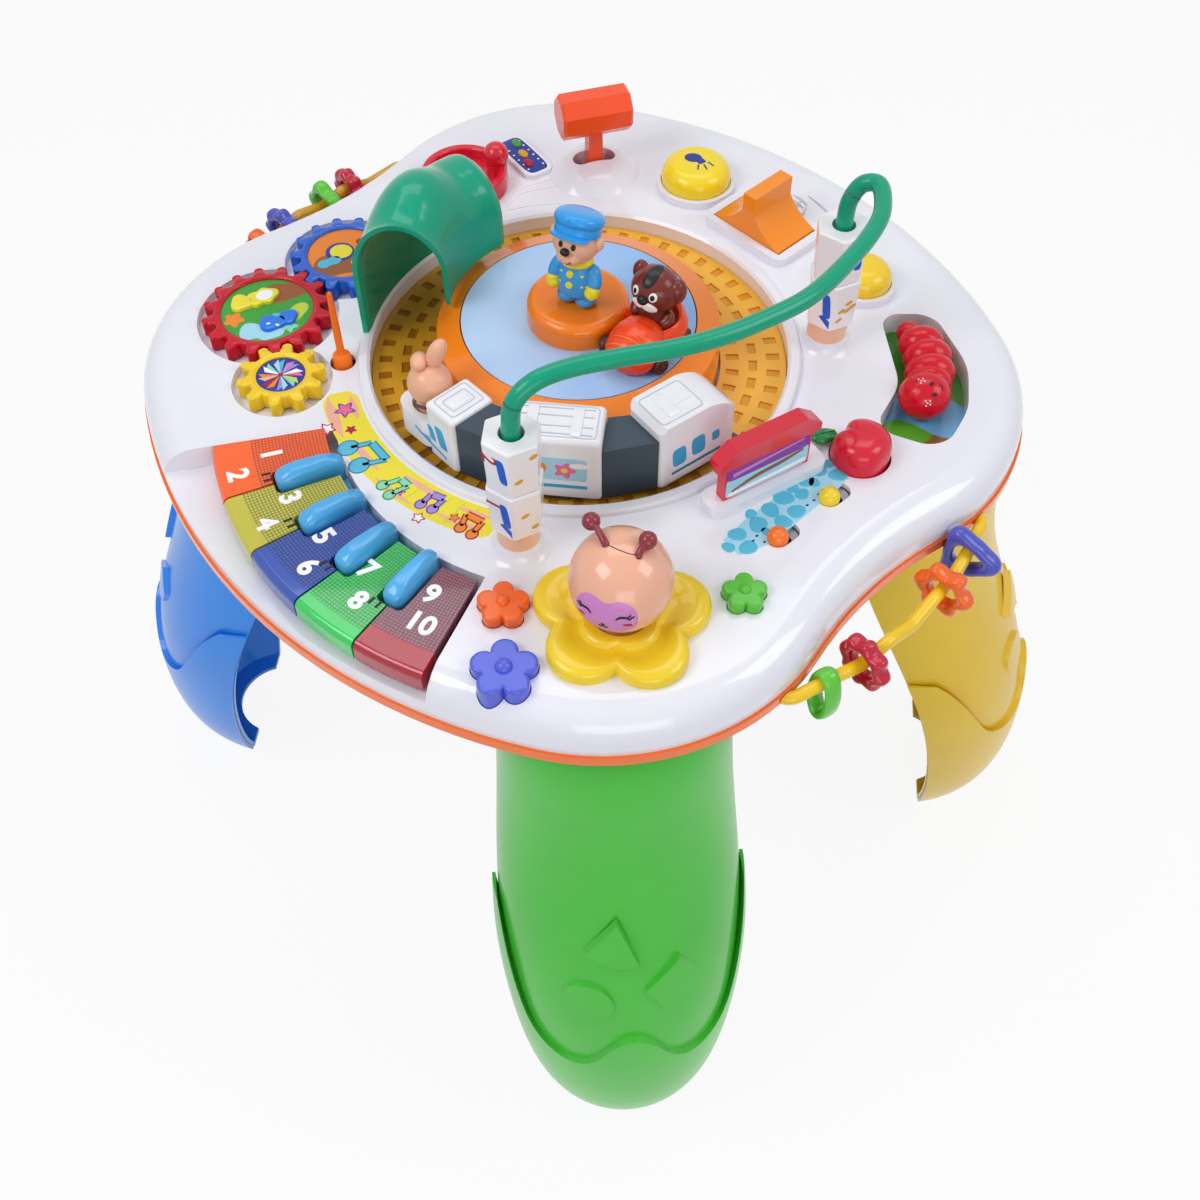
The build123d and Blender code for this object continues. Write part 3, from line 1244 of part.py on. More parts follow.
front_beads = {
    "bead_1": oval_bead(-59.5),
    "bead_2": round_bead(-53.5, 15.5, 8, 3.5),
    "bead_3": round_bead(-38.0, 16.5, 6, 5.0),
    "bead_4": triangle_bead(-31.5),
}
for name, bead in front_beads.items():
    bead.part.label = name
    export_step(bead.part, f"parts/{name}.step")

with BuildPart() as rear_beads:
    add(round_bead(147.5, 12.0, 6, 4.0).part)
    add(round_bead(142.5, 15.0, 8, 3.5).part)
    add(round_bead(134.0, 15.5, 5, 5.0).part)
    add(round_bead(129.3, 15.5, 9, 3.0).part)
rear_beads.part.label = "rear_beads"
export_step(rear_beads.part, "parts/rear_beads.step")

# ---------------------------------------------------------------- piano
for index in range(KEY_COUNT):
    start, end = KEY_ANGLES[index], KEY_ANGLES[index + 1]
    with BuildPart() as key:
        margin = degrees(KEY_GAP / 2 / KEY_OUT_R)
        with BuildSketch(Plane.XY.offset(KEY_BASE_Z)):
            add(sector(KEY_IN_R, KEY_OUT_R, start + margin, end - margin, PIANO_C))
        extrude(amount=KEY_TOP_Z - KEY_BASE_Z)
        front = key.faces().filter_by(GeomType.CYLINDER).sort_by(SortBy.AREA)[-1]
        fillet(front.edges().filter_by(GeomType.CIRCLE).sort_by(Axis.Z)[-1], 4)
        with BuildSketch(Plane.XY.offset(KEY_BASE_Z)):
            for divider in KEY_ANGLES[max(index, 1) : index + 2]:
                if divider < PIANO_END:
                    place = at(COMB_IN_R + SHARP_LEN / 2, divider, PIANO_C)
                    with Locations(Location((*place, 0), (0, 0, divider))):
                        RectangleRounded(SHARP_LEN + 2 * KEY_GAP, SHARP_W + 2 * KEY_GAP, 3)
        extrude(amount=KEY_TOP_Z, mode=Mode.SUBTRACT)
    key.part.label = f"key_{index + 1}"
    export_step(key.part, f"parts/key_{index + 1}.step")

with BuildPart() as sharp_keys:
    with BuildSketch(Plane.XY.offset(KEY_BASE_Z)):
        add(sector(COMB_IN_R, KEY_IN_R - KEY_GAP, KEY_ANGLES[1] - 1, KEY_ANGLES[-2] + 1, PIANO_C))
    extrude(amount=COMB_T)
    with BuildSketch(Plane.XY.offset(KEY_BASE_Z)):
        for divider in KEY_ANGLES[1:-1]:
            place = at(COMB_IN_R + SHARP_LEN / 2, divider, PIANO_C)
            with Locations(Location((*place, 0), (0, 0, divider))):
                RectangleRounded(SHARP_LEN, SHARP_W, 2.5)
    extrude(amount=SHARP_TOP_Z - KEY_BASE_Z)
    chamfer(sharp_keys.faces().group_by(Axis.Z)[-1].edges(), 2.2)
sharp_keys.part.label = "sharp_keys"
export_step(sharp_keys.part, "parts/sharp_keys.step")

# ---------------------------------------------------------------- gears, stick, dial
for name, teeth in GEAR_TEETH.items():
    with BuildPart() as gear:
        with BuildSketch(Plane.XY.offset(GEAR_BASE_Z)):
            with Locations(gear_centre(name)):
                add(gear_face(name))
        extrude(amount=GEAR_H)
        with BuildSketch(Plane.XY.offset(GEAR_BASE_Z + GEAR_H - 0.8)):
            with Locations(gear_centre(name)):
                Circle(GEAR_MODULE * teeth / 2 - TOOTH_R - 4.5)
        extrude(amount=2, mode=Mode.SUBTRACT)
        with BuildSketch(Plane.XY.offset(GEAR_BASE_Z)):
            with Locations(gear_centre(name)):
                Circle(AXLE_R + RUN)
        extrude(amount=AXLE_H, mode=Mode.SUBTRACT)
    gear.part.label = name
    export_step(gear.part, f"parts/{name}.step")

with BuildPart() as flick_stick:
    with Locations((*STICK_C, DECK_Z)):
        Sphere(STICK_FOOT_R)
    with BuildSketch(Plane.XZ.offset(-STICK_C[1])):
        with BuildLine():
            Polyline(
                (STICK_C[0], DECK_Z),
                (STICK_C[0] + 5.4, DECK_Z + 2),
                (STICK_C[0] + STICK_R + 0.4, DECK_Z + 15),
                (STICK_C[0] + STICK_R - 0.6, STICK_TOP_Z - 1),
                (STICK_C[0] + STICK_R - 1.6, STICK_TOP_Z),
                (STICK_C[0], STICK_TOP_Z),
                close=True,
            )
        make_face()
    revolve(axis=Axis((*STICK_C, 0), (0, 0, 1)))
flick_stick.part.label = "flick_stick"
export_step(flick_stick.part, "parts/flick_stick.step")

DIAL_Z = DECK_Z + RUN
with BuildPart() as crank_dial:
    with BuildSketch(Plane.XY.offset(DIAL_Z)):
        with Locations(DIAL_C):
            Circle(DIAL_R)
    extrude(amount=DIAL_H)
    with BuildSketch(Plane.XY.offset(DIAL_Z + DIAL_H - 1)):
        with Locations(DIAL_C):
            Circle(DIAL_R)
            Circle(DIAL_R - 5, mode=Mode.SUBTRACT)
    extrude(amount=DIAL_RIM_H - DIAL_H + 1)
    fillet(crank_dial.faces().sort_by(Axis.Z)[-1].edges(), 1.8)
    with BuildSketch(Plane.XY.offset(DIAL_Z + 1)):
        with Locations(DIAL_KNOB):
            Circle(6.2)
    extrude(amount=11)
    with Locations((*DIAL_KNOB, DIAL_Z + 17)):
        Sphere(DIAL_KNOB_R)
    with BuildSketch(Plane.XY.offset(DECK_Z - WALL - RUN - FLANGE_H)):
        with Locations(DIAL_C):
            Circle(DIAL_STEM_R)
    extrude(amount=DIAL_H + WALL + FLANGE_H)
    with BuildSketch(Plane.XY.offset(DECK_Z - WALL - RUN - FLANGE_H)):
        with Locations(DIAL_C):
            Circle(DIAL_STEM_R + FLANGE_OUT)
    extrude(amount=FLANGE_H)
crank_dial.part.label = "crank_dial"
export_step(crank_dial.part, "parts/crank_dial.step")

# ---------------------------------------------------------------- levers and buttons
with BuildPart() as hammer:
    with BuildSketch(HAMMER_PLANE):
        with Locations((0, PIVOT_Z)):
            Circle(HANDLE_W / 2)
        with BuildLine():
            Polyline(
                (-HANDLE_W / 2, PIVOT_Z),
                (-HANDLE_W / 2 + 0.5, HEAD_Z),
                (HANDLE_W / 2 - 0.5, HEAD_Z),
                (HANDLE_W / 2, PIVOT_Z),
                close=True,
            )
        make_face()
    extrude(amount=HANDLE_T / 2, both=True)
    with BuildSketch(HAMMER_PLANE):
        with Locations((0, PIVOT_Z)):
            Circle(PIN_R)
    extrude(amount=SLOT_W / 2 + PIN_DEEP, both=True)
    head_plane = Plane(
        origin=(*HAMMER_C, HEAD_Z), x_dir=(*at(1, HAMMER_TURN + 90), 0), z_dir=(*at(1, HAMMER_TURN), 0)
    )
    with BuildSketch(head_plane):
        RegularPolygon(HEAD_R, 8, rotation=22.5)
    extrude(amount=HEAD_L / 2, both=True)
    chamfer(hammer.faces().sort_by(Axis(HAMMER_C + (HEAD_Z,), (*at(1, HAMMER_TURN), 0)))[-1].edges(), 1.5)
    chamfer(hammer.faces().sort_by(Axis(HAMMER_C + (HEAD_Z,), (*at(1, HAMMER_TURN), 0)))[0].edges(), 1.5)
hammer.part.label = "hammer"
export_step(hammer.part, "parts/hammer.step")


def flange(place, radius):
    """Flange that holds a button under the deck."""
    with BuildPart() as disc:
        with BuildSketch(Plane.XY.offset(DECK_Z - WALL - RUN - FLANGE_H)):
            with Locations(place):
                Circle(radius)
        extrude(amount=FLANGE_H)
    return disc.part


def dome_button(place, radius, top_z, rise):
    """Round button: upright side, rounded top, skirt through the deck, flange under it."""
    with BuildPart() as button:
        low = DECK_Z - WALL - RUN - FLANGE_H
        with BuildSketch(Plane.XY.offset(low)):
            with Locations(place):
                Circle(radius)
        extrude(amount=top_z - low)
        fillet(button.faces().sort_by(Axis.Z)[-1].edges(), rise)
        add(flange(place, radius + FLANGE_OUT))
    return button


lamp_button = dome_button(LAMP_C, LAMP_R, LAMP_TOP_Z, 9.5)
lamp_button.part.label = "lamp_button"
export_step(lamp_button.part, "parts/lamp_button.step")

with BuildPart() as dome_knob:
    add(dome_button(KNOB_C, KNOB_R, KNOB_TOP_Z, 9.0).part)
    with Locations((KNOB_C[0] - 6.5, KNOB_C[1] - 4, KNOB_TOP_Z - 4)):
        Sphere(4.2)
dome_knob.part.label = "dome_knob"
export_step(dome_knob.part, "parts/dome_knob.step")

with BuildPart() as apple_button:
    add(dome_button(APPLE_C, APPLE_R, APPLE_TOP_Z, 11.0).part)
    # leaf beside the fruit and the stalk that joins them over the deck
    leaf_z = DECK_Z + PRESS + RUN
    with BuildSketch(Plane.XY.offset(leaf_z)):
        with Locations(Location((*LEAF_C, 0), (0, 0, 20))):
            Ellipse(7.2, 5.2)
        with Locations(Location((131.0, -72.2, 0), (0, 0, 151))):
            Rectangle(9, 3)
    extrude(amount=4)
apple_button.part.label = "apple_button"
export_step(apple_button.part, "parts/apple_button.step")

ROCKER_HALF = ROCKER_L / 2
with BuildPart() as rocker_switch:
    with BuildSketch(ROCKER_PLANE):
        with BuildLine():
            edge_z = ROCKER_PIVOT_Z + 3
            low_z = ROCKER_PIVOT_Z - 3
            Line((-ROCKER_HALF + 0.5, edge_z), (-ROCKER_HALF + 0.5, low_z))
            Line((-ROCKER_HALF + 0.5, low_z), (ROCKER_HALF - 0.5, low_z))
            Line((ROCKER_HALF - 0.5, low_z), (ROCKER_HALF - 0.5, edge_z))
            ThreePointArc((ROCKER_HALF - 0.5, edge_z), (13, edge_z + 5.5), (FIN_W / 2, edge_z + 14))
            Polyline(
                (FIN_W / 2, edge_z + 14),
                (FIN_W / 2, ROCKER_TOP_Z),
                (-FIN_W / 2, ROCKER_TOP_Z),
                (-FIN_W / 2, edge_z + 14),
            )
            ThreePointArc((-FIN_W / 2, edge_z + 14), (-13, edge_z + 5.5), (-ROCKER_HALF + 0.5, edge_z))
        make_face()
    extrude(amount=ROCKER_W / 2, both=True)
    with BuildSketch(ROCKER_PLANE):
        with Locations((0, ROCKER_PIVOT_Z)):
            Circle(PIN_R)
    extrude(amount=ROCKER_W / 2 + PIN_DEEP, both=True)
rocker_switch.part.label = "rocker_switch"
export_step(rocker_switch.part, "parts/rocker_switch.step")

with BuildPart() as grub:
    for azimuth, radius in GRUB:
        with Locations((*at(GRUB_R, azimuth), RECESS_FLOOR_Z + SLIP + radius)):
            Sphere(radius)
grub.part.label = "grub"
export_step(grub.part, "parts/grub.step")

for name, place in SLIDER_C.items():
    with BuildPart() as slider:
        with Locations((*place, DECK_Z + 1)):
            Sphere(SLIDER_R)
        with BuildSketch(Plane.XY.offset(DECK_Z - WALL - RUN - FLANGE_H)):
            with Locations(place):
                Circle(SLIDER_R)
        extrude(amount=WALL + RUN + FLANGE_H)
        add(flange(place, SLIDER_R + FLANGE_OUT))
    slider.part.label = name
    export_step(slider.part, f"parts/{name}.step")

# ---------------------------------------------------------------- sign, flower corner
SIGN_PLANE = Plane(
    origin=(*SIGN_C, DECK_Z + PLINTH_H), x_dir=(*at(1, SIGN_TURN), 0), z_dir=(*at(1, SIGN_TURN - 90), 0)
)
with BuildPart() as station_sign:
    with BuildSketch(SIGN_PLANE):
        with BuildLine():
            Polyline(
                (-SIGN_L / 2 + 4, 0),
                (-SIGN_L / 2 + 4, SIGN_H * 0.55),
                (-SIGN_L / 2, SIGN_H * 0.6),
                (-SIGN_L / 2, SIGN_H * 0.8),
                (-SIGN_L / 2 + 9, SIGN_H),
                (SIGN_L / 2 - 9, SIGN_H),
                (SIGN_L / 2, SIGN_H * 0.8),
                (SIGN_L / 2, SIGN_H * 0.6),
                (SIGN_L / 2 - 4, SIGN_H * 0.55),
                (SIGN_L / 2 - 4, 0),
                close=True,
            )
        make_face()
    extrude(amount=SIGN_T / 2, both=True)
    with BuildSketch(SIGN_PLANE):
        with BuildLine():
            Polyline(
                (-SIGN_L / 2, SIGN_H * 0.66),
                (-SIGN_L / 2, SIGN_H * 0.8),
                (-SIGN_L / 2 + 9, SIGN_H),
                (SIGN_L / 2 - 9, SIGN_H),
                (SIGN_L / 2, SIGN_H * 0.8),
                (SIGN_L / 2, SIGN_H * 0.66),
                close=True,
            )
        make_face()
    extrude(amount=SIGN_T / 2 + 1.6, both=True)
station_sign.part.label = "station_sign"
export_step(station_sign.part, "parts/station_sign.step")

with BuildPart() as flower_bezel:
    with BuildSketch(Plane.XY.offset(DECK_Z)):
        with Locations(FLOWER_C):
            Circle(BEZEL_R - PETAL_R)
            with PolarLocations(BEZEL_R - PETAL_R, PETAL_COUNT, start_angle=54):
                Circle(PETAL_R)
    extrude(amount=BEZEL_H)
    fillet(flower_bezel.faces().sort_by(Axis.Z)[-1].edges(), 3.5)
    with BuildSketch(Plane.XY.offset(DECK_Z - 1)):
        with Locations(FLOWER_C):
            Circle(BEE_NECK_R + 5)
    extrude(amount=BEZEL_H + 2, mode=Mode.SUBTRACT)
flower_bezel.part.label = "flower_bezel"
export_step(flower_bezel.part, "parts/flower_bezel.step")

FEELERS = (((12.4, -171.0, 430.0), (6.8, -167.5, 436.0)), ((26.0, -176.5, 430.0), (31.4, -178.4, 436.0)))
with BuildPart() as bee_head:
    with Locations((*FLOWER_C, BEE_Z)):
        Sphere(BEE_R)
    with BuildSketch(Plane.XY.offset(DECK_Z - WALL - RUN - FLANGE_H)):
        with Locations(FLOWER_C):
            Circle(BEE_NECK_R)
    extrude(amount=BEE_Z - BEE_R / 2 - DECK_Z)
    add(flange(FLOWER_C, BEE_NECK_R + FLANGE_OUT))
    for root, tip in FEELERS:
        direction = Vector(*tip) - Vector(*root)
        with BuildSketch(Plane(origin=root, z_dir=direction)):
            Circle(1.7)
        extrude(amount=direction.length)
        with Locations(tip):
            Sphere(4.2)
bee_head.part.label = "bee_head"
export_step(bee_head.part, "parts/bee_head.step")

for name, (place, radius, turn) in FLOWERS.items():
    with BuildPart() as flower:
        with BuildSketch(Plane.XY.offset(DECK_Z - FLOWER_SKIRT)):
            add(FLOWER_FACES[name])
        extrude(amount=FLOWER_H + FLOWER_SKIRT)
        fillet(flower.faces().sort_by(Axis.Z)[-1].edges(), 1.8)
        with BuildSketch(Plane.XY.offset(DECK_Z - FLOWER_SKIRT - FLANGE_H)):
            with Locations(place):
                Circle(radius * FLOWER_FLANGE)
        extrude(amount=FLANGE_H)
        with Locations((*place, DECK_Z + FLOWER_H - 0.5)):
            Sphere(radius * 0.26)
    flower.part.label = name
    export_step(flower.part, f"parts/{name}.step")
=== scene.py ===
from math import pi, radians

import bmesh
import bpy
import numpy as np
from mathutils import Matrix, Vector


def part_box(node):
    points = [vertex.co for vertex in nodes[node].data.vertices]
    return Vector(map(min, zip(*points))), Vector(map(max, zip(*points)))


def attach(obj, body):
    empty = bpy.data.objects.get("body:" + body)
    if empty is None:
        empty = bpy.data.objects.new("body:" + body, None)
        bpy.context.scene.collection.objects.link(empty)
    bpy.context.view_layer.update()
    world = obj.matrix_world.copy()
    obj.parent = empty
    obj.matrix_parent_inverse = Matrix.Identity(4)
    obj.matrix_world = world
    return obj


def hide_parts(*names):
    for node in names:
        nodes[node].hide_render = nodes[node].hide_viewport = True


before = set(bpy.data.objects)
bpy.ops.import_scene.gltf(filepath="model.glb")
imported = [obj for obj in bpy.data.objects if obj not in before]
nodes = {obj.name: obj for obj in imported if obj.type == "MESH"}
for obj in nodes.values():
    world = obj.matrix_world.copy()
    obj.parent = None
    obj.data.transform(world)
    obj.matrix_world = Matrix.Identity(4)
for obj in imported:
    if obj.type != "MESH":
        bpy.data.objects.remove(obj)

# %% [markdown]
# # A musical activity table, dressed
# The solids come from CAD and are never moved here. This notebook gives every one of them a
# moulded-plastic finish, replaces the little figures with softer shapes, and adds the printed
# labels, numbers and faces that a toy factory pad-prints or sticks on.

MM = 0.001
DECK = 381.0  # height of the white deck
TRACK_R, CAR_SIDE_R = 91.5, 105.0  # middle of the track, outer side of the cars
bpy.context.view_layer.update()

# %% [markdown]
# ## The camera, the lamps and the floor
# A product picture is taken a little above the table, with soft light from wide lamps, so that
# glossy plastic shows broad pale highlights and colours come out as they are. The floor and the
# world look white only to the camera, in reflections and through clear things: their white
# never adds light to the table.

# %% Camera
PITCH = 53.10
ROLL = -0.31
camera_data = bpy.data.cameras.new("camera")
camera_data.sensor_width = 36
camera_data.lens = 42
camera = bpy.data.objects.new("camera", camera_data)
camera.matrix_world = (
    Matrix.Translation(Vector((10.5, -562.2, 904.4)) * MM)
    @ Matrix.Rotation(radians(90 - PITCH), 4, "X")
    @ Matrix.Rotation(radians(ROLL), 4, "Z")
)
camera_data.clip_start = 0.01
bpy.context.scene.collection.objects.link(camera)
bpy.context.scene.camera = camera
bpy.context.scene.view_settings.view_transform = "Standard"


# %% Colours and nodes
def linear(code):
    """A hex sRGB colour as Blender's linear numbers."""
    value = np.array([int(code[i : i + 2], 16) for i in (1, 3, 5)]) / 255
    value = np.where(value <= 0.04045, value / 12.92, ((value + 0.055) / 1.055) ** 2.4)
    return (*value.tolist(), 1.0)


def add_node(tree, kind, settings=None, values=None, links=None):
    """One node: its settings, the values of its sockets, and the sockets linked into it."""
    node = tree.nodes.new(kind)
    for key, value in (settings or {}).items():
        setattr(node, key, value)
    for key, value in (values or {}).items():
        node.inputs[key].default_value = value
    for key, source in (links or {}).items():
        tree.links.new(source, node.inputs[key])
    return node


# %% Lamps
def lamp(name, place, aim, size, power):
    """Soft oblong lamp at a place in millimetres, turned towards aim."""
    data = bpy.data.lights.new(name, "AREA")
    data.shape = "RECTANGLE"
    data.size, data.size_y = size
    data.energy = power
    light = bpy.data.objects.new(name, data)
    light.location = Vector(place) * MM
    light.rotation_euler = (Vector(aim) - Vector(place)).to_track_quat("-Z", "Y").to_euler()
    bpy.context.scene.collection.objects.link(light)


lamp("key_lamp", (-900, -500, 1500), (0, 0, 380), (0.8, 0.6), 8.6)
lamp("fill_lamp", (1100, -300, 1300), (0, 0, 380), (0.6, 0.7), 5.4)
lamp("top_lamp", (0, 500, 1800), (0, 0, 380), (1.4, 0.7), 7)
lamp("front_lamp", (200, -1500, 700), (0, 0, 250), (0.9, 0.6), 4.6)


# %% World and floor
def white_to_eye(tree):
    """1 for rays from the camera and for reflections and see-through rays, else 0."""
    rays = add_node(tree, "ShaderNodeLightPath")
    either = add_node(
        tree, "ShaderNodeMath", {"operation": "MAXIMUM"}, None,
        {0: rays.outputs["Is Camera Ray"], 1: rays.outputs["Is Transmission Ray"]},
    )
    return add_node(
        tree, "ShaderNodeMath", {"operation": "MAXIMUM"}, None,
        {0: either.outputs[0], 1: rays.outputs["Is Glossy Ray"]},
    ).outputs[0]


world = bpy.data.worlds.new("studio")
bpy.context.scene.world = world
world.use_nodes = True
tree = world.node_tree
tree.nodes.clear()
soft = add_node(tree, "ShaderNodeBackground", values={"Color": linear("#F2F3F8"), "Strength": 0.31})
white = add_node(tree, "ShaderNodeBackground", values={"Color": (1, 1, 1, 1), "Strength": 1})
seen = add_node(
    tree, "ShaderNodeMixShader",
    links={0: white_to_eye(tree), 1: soft.outputs[0], 2: white.outputs[0]},
)
add_node(tree, "ShaderNodeOutputWorld", links={"Surface": seen.outputs[0]})

floor_mesh = bpy.data.meshes.new("floor")
FLOOR_REACH = 40.0
corners = [(x * FLOOR_REACH, y * FLOOR_REACH, 0) for x, y in ((-1, -1), (1, -1), (1, 1), (-1, 1))]
floor_mesh.from_pydata(corners, [], [(0, 1, 2, 3)])
floor = bpy.data.objects.new("floor", floor_mesh)
bpy.context.scene.collection.objects.link(floor)
paper = bpy.data.materials.new("matt_paper_floor")
paper.use_nodes = True
tree = paper.node_tree
tree.nodes.clear()
matt = add_node(tree, "ShaderNodeBsdfDiffuse", values={"Color": linear("#F6F6F8")})
glow = add_node(tree, "ShaderNodeEmission", values={"Color": (1, 1, 1, 1), "Strength": 1})
share = add_node(
    tree, "ShaderNodeMath", {"operation": "MULTIPLY"}, {1: 0.9}, {0: white_to_eye(tree)}
)
both = add_node(
    tree, "ShaderNodeMixShader", links={0: share.outputs[0], 1: matt.outputs[0], 2: glow.outputs[0]}
)
add_node(tree, "ShaderNodeOutputMaterial", links={"Surface": both.outputs[0]})
floor_mesh.materials.append(paper)

# %% [markdown]
# ## Moulded plastic
# Almost every piece is injection-moulded ABS: coloured all through, polished by the steel of the
# mould, with a very slight waviness ("orange peel") that breaks up the reflections, and a colour
# that drifts by a percent or two where the melt cooled more slowly. Where a piece carries a
# pattern, a second function works it out from the object's own coordinates.


# %% The moulded finish
def moulded(
    name, colour, roughness=0.22, coat=0.35, peel=0.05, drift=0.04, subsurface=0.0, pattern=None
):
    """Injection-moulded ABS: gloss with a fine waviness 3 mm wide, and a slow drift of colour."""
    material = bpy.data.materials.new(name)
    material.use_nodes = True
    tree = material.node_tree
    tree.nodes.clear()
    place = add_node(tree, "ShaderNodeTexCoord").outputs["Object"]
    cloud = add_node(
        tree, "ShaderNodeTexNoise", values={"Scale": 22.0, "Detail": 3.0}, links={"Vector": place}
    )
    if pattern:
        paint, relief = pattern(tree, place)
        shade = add_node(
            tree, "ShaderNodeMapRange", values={"To Min": 1 - 2 * drift, "To Max": 1 + drift},
            links={"Value": cloud.outputs["Fac"]},
        )
        base = add_node(
            tree, "ShaderNodeVectorMath", {"operation": "SCALE"}, None,
            {0: paint, "Scale": shade.outputs[0]},
        ).outputs[0]
    else:
        relief = None
        whole = np.array(linear(colour))
        dark, light = whole * (1 - 2 * drift), np.clip(whole * (1 + drift), 0, 1)
        dark[3] = light[3] = 1
        base = add_node(
            tree, "ShaderNodeMix", {"data_type": "RGBA"}, {6: dark.tolist(), 7: light.tolist()},
            {0: cloud.outputs["Fac"]},
        ).outputs[2]
    wave = add_node(
        tree, "ShaderNodeTexNoise", values={"Scale": 320.0, "Detail": 2.0}, links={"Vector": place}
    )
    bump = add_node(
        tree, "ShaderNodeBump", values={"Strength": peel, "Distance": 0.0004},
        links={"Height": wave.outputs["Fac"]},
    )
    if relief is not None:
        bump = add_node(
            tree, "ShaderNodeBump", values={"Strength": 0.6, "Distance": 0.0005},
            links={"Height": relief, "Normal": bump.outputs[0]},
        )
    shader = add_node(
        tree,
        "ShaderNodeBsdfPrincipled",
        values={
            "Roughness": roughness, "IOR": 1.45, "Specular IOR Level": 0.28, "Coat Weight": coat,
            "Coat Roughness": 0.035, "Subsurface Weight": subsurface,
        },
        links={"Base Color": base, "Normal": bump.outputs["Normal"]},
    )
    shader.inputs["Subsurface Radius"].default_value = (0.004, 0.003, 0.002)
    add_node(tree, "ShaderNodeOutputMaterial", links={"Surface": shader.outputs[0]})
    material.diffuse_color = linear(colour)
    return material


def printed(name, colour):
    """Pad-printed ink: a thin even film, a little duller than the plastic under it."""
    return moulded(name, colour, 0.34, 0.12, 0.02, 0.03)


# %% [markdown]
# Some pieces need a colour that changes with place: the clear piano keys with their square
# grid, the track with painted shade in its sunk fields and under the tunnel, the disc with
# painted light that pales it towards the key lamp, the white shell with a meadow in its
# kidney-shaped recess, and the rods and rear beads, which share one node but not one colour.


# %% Patterns
def axis(tree, place, name):
    return add_node(tree, "ShaderNodeSeparateXYZ", links={0: place}).outputs[name]


def step_over(tree, value, limit, soft=0.0002):
    """0 under limit, 1 over it, with a soft edge."""
    return add_node(
        tree, "ShaderNodeMapRange", {"interpolation_type": "SMOOTHSTEP"},
        {"From Min": limit - soft, "From Max": limit + soft}, {"Value": value},
    ).outputs[0]


def blend(tree, share, first, second):
    """Colour mix; each colour is a hex code or a socket."""
    node = add_node(tree, "ShaderNodeMix", {"data_type": "RGBA"}, None, {0: share})
    for slot, colour in ((6, first), (7, second)):
        if isinstance(colour, str):
            node.inputs[slot].default_value = linear(colour)
        else:
            tree.links.new(colour, node.inputs[slot])
    return node.outputs[2]


def polar(tree, place, centre):
    """Distance from an upright line and angle round it."""
    moved = add_node(
        tree, "ShaderNodeMapping",
        values={"Location": (-centre[0] * MM, -centre[1] * MM, 0), "Scale": (1, 1, 0)},
        links={"Vector": place},
    ).outputs[0]
    reach = add_node(
        tree, "ShaderNodeVectorMath", {"operation": "LENGTH"}, None, {0: moved}
    ).outputs["Value"]
    turn = add_node(
        tree, "ShaderNodeMath", {"operation": "ARCTAN2"}, None,
        {0: axis(tree, moved, "Y"), 1: axis(tree, moved, "X")},
    ).outputs[0]
    return reach, turn


PIANO_C = (9.0, -28.0)  # centre of the arcs of the keyboard
GRID = 1.7  # side of a cell under the clear keys


def key_pattern(top, line, front, grid_end):
    """Grid of 1.7 mm cells between rings and spokes about the keyboard's centre."""

    def pattern(tree, place):
        reach, turn = polar(tree, place, PIANO_C)
        cells = []
        for value, scale in ((reach, 1 / (GRID * MM)), (turn, 172 / GRID)):
            steps = add_node(
                tree, "ShaderNodeMath", {"operation": "MULTIPLY"}, {1: scale}, {0: value}
            )
            cells.append(
                add_node(
                    tree, "ShaderNodeMath", {"operation": "PINGPONG"}, {1: 0.5},
                    {0: steps.outputs[0]},
                ).outputs[0]
            )
        near = add_node(
            tree, "ShaderNodeMath", {"operation": "MINIMUM"}, None, {0: cells[0], 1: cells[1]}
        ).outputs[0]
        raised = step_over(tree, near, 0.14, 0.1)
        past = step_over(tree, reach, grid_end * MM, 0.0008)
        lit = add_node(
            tree, "ShaderNodeMath", {"operation": "MAXIMUM"}, None, {0: raised, 1: past}
        ).outputs[0]
        return blend(tree, past, blend(tree, raised, line, top), front), lit

    return pattern


def track_pattern(tree, place):
    """Amber with painted shade: browner in the sunk fields, where shade falls, and darker on the west
    side, under the tunnel, away from the light.
    """
    # Painted shade: below 374.6 mm, in the sunk fields, the amber turns brown.
    field_shade = step_over(tree, axis(tree, place, "Z"), 374.6 * MM, 0.0003)
    # Painted shadow of the tunnel: the amber darkens towards the west.
    side = step_over(tree, axis(tree, place, "X"), -0.02, 0.07)
    flat = blend(tree, side, "#D9A02C", "#F3B93E")
    return blend(tree, field_shade, blend(tree, side, "#A87012", "#DE9A22"), flat), None


# Painted light: the light blue pales towards the west, the side of the key lamp.
def disc_pattern(tree, place):
    return blend(
        tree, step_over(tree, axis(tree, place, "X"), 0.0, 0.06), "#BCD8FA", "#94C1F4"
    ), None


def rod_pattern(tree, place):
    return blend(tree, step_over(tree, axis(tree, place, "Y"), 0.0), "#F7CC22", "#D8A02A"), None


def rear_bead_pattern(tree, place):
    """Orange, purple, green and red beads by their angle round the table."""
    turn = polar(tree, place, (0, 0))[1]
    low = blend(tree, step_over(tree, turn, radians(131.6)), "#C41638", "#63C93B")
    high = blend(tree, step_over(tree, turn, radians(145.0)), "#4F55C0", "#F46A1E")
    return blend(tree, step_over(tree, turn, radians(138.2)), low, high), None


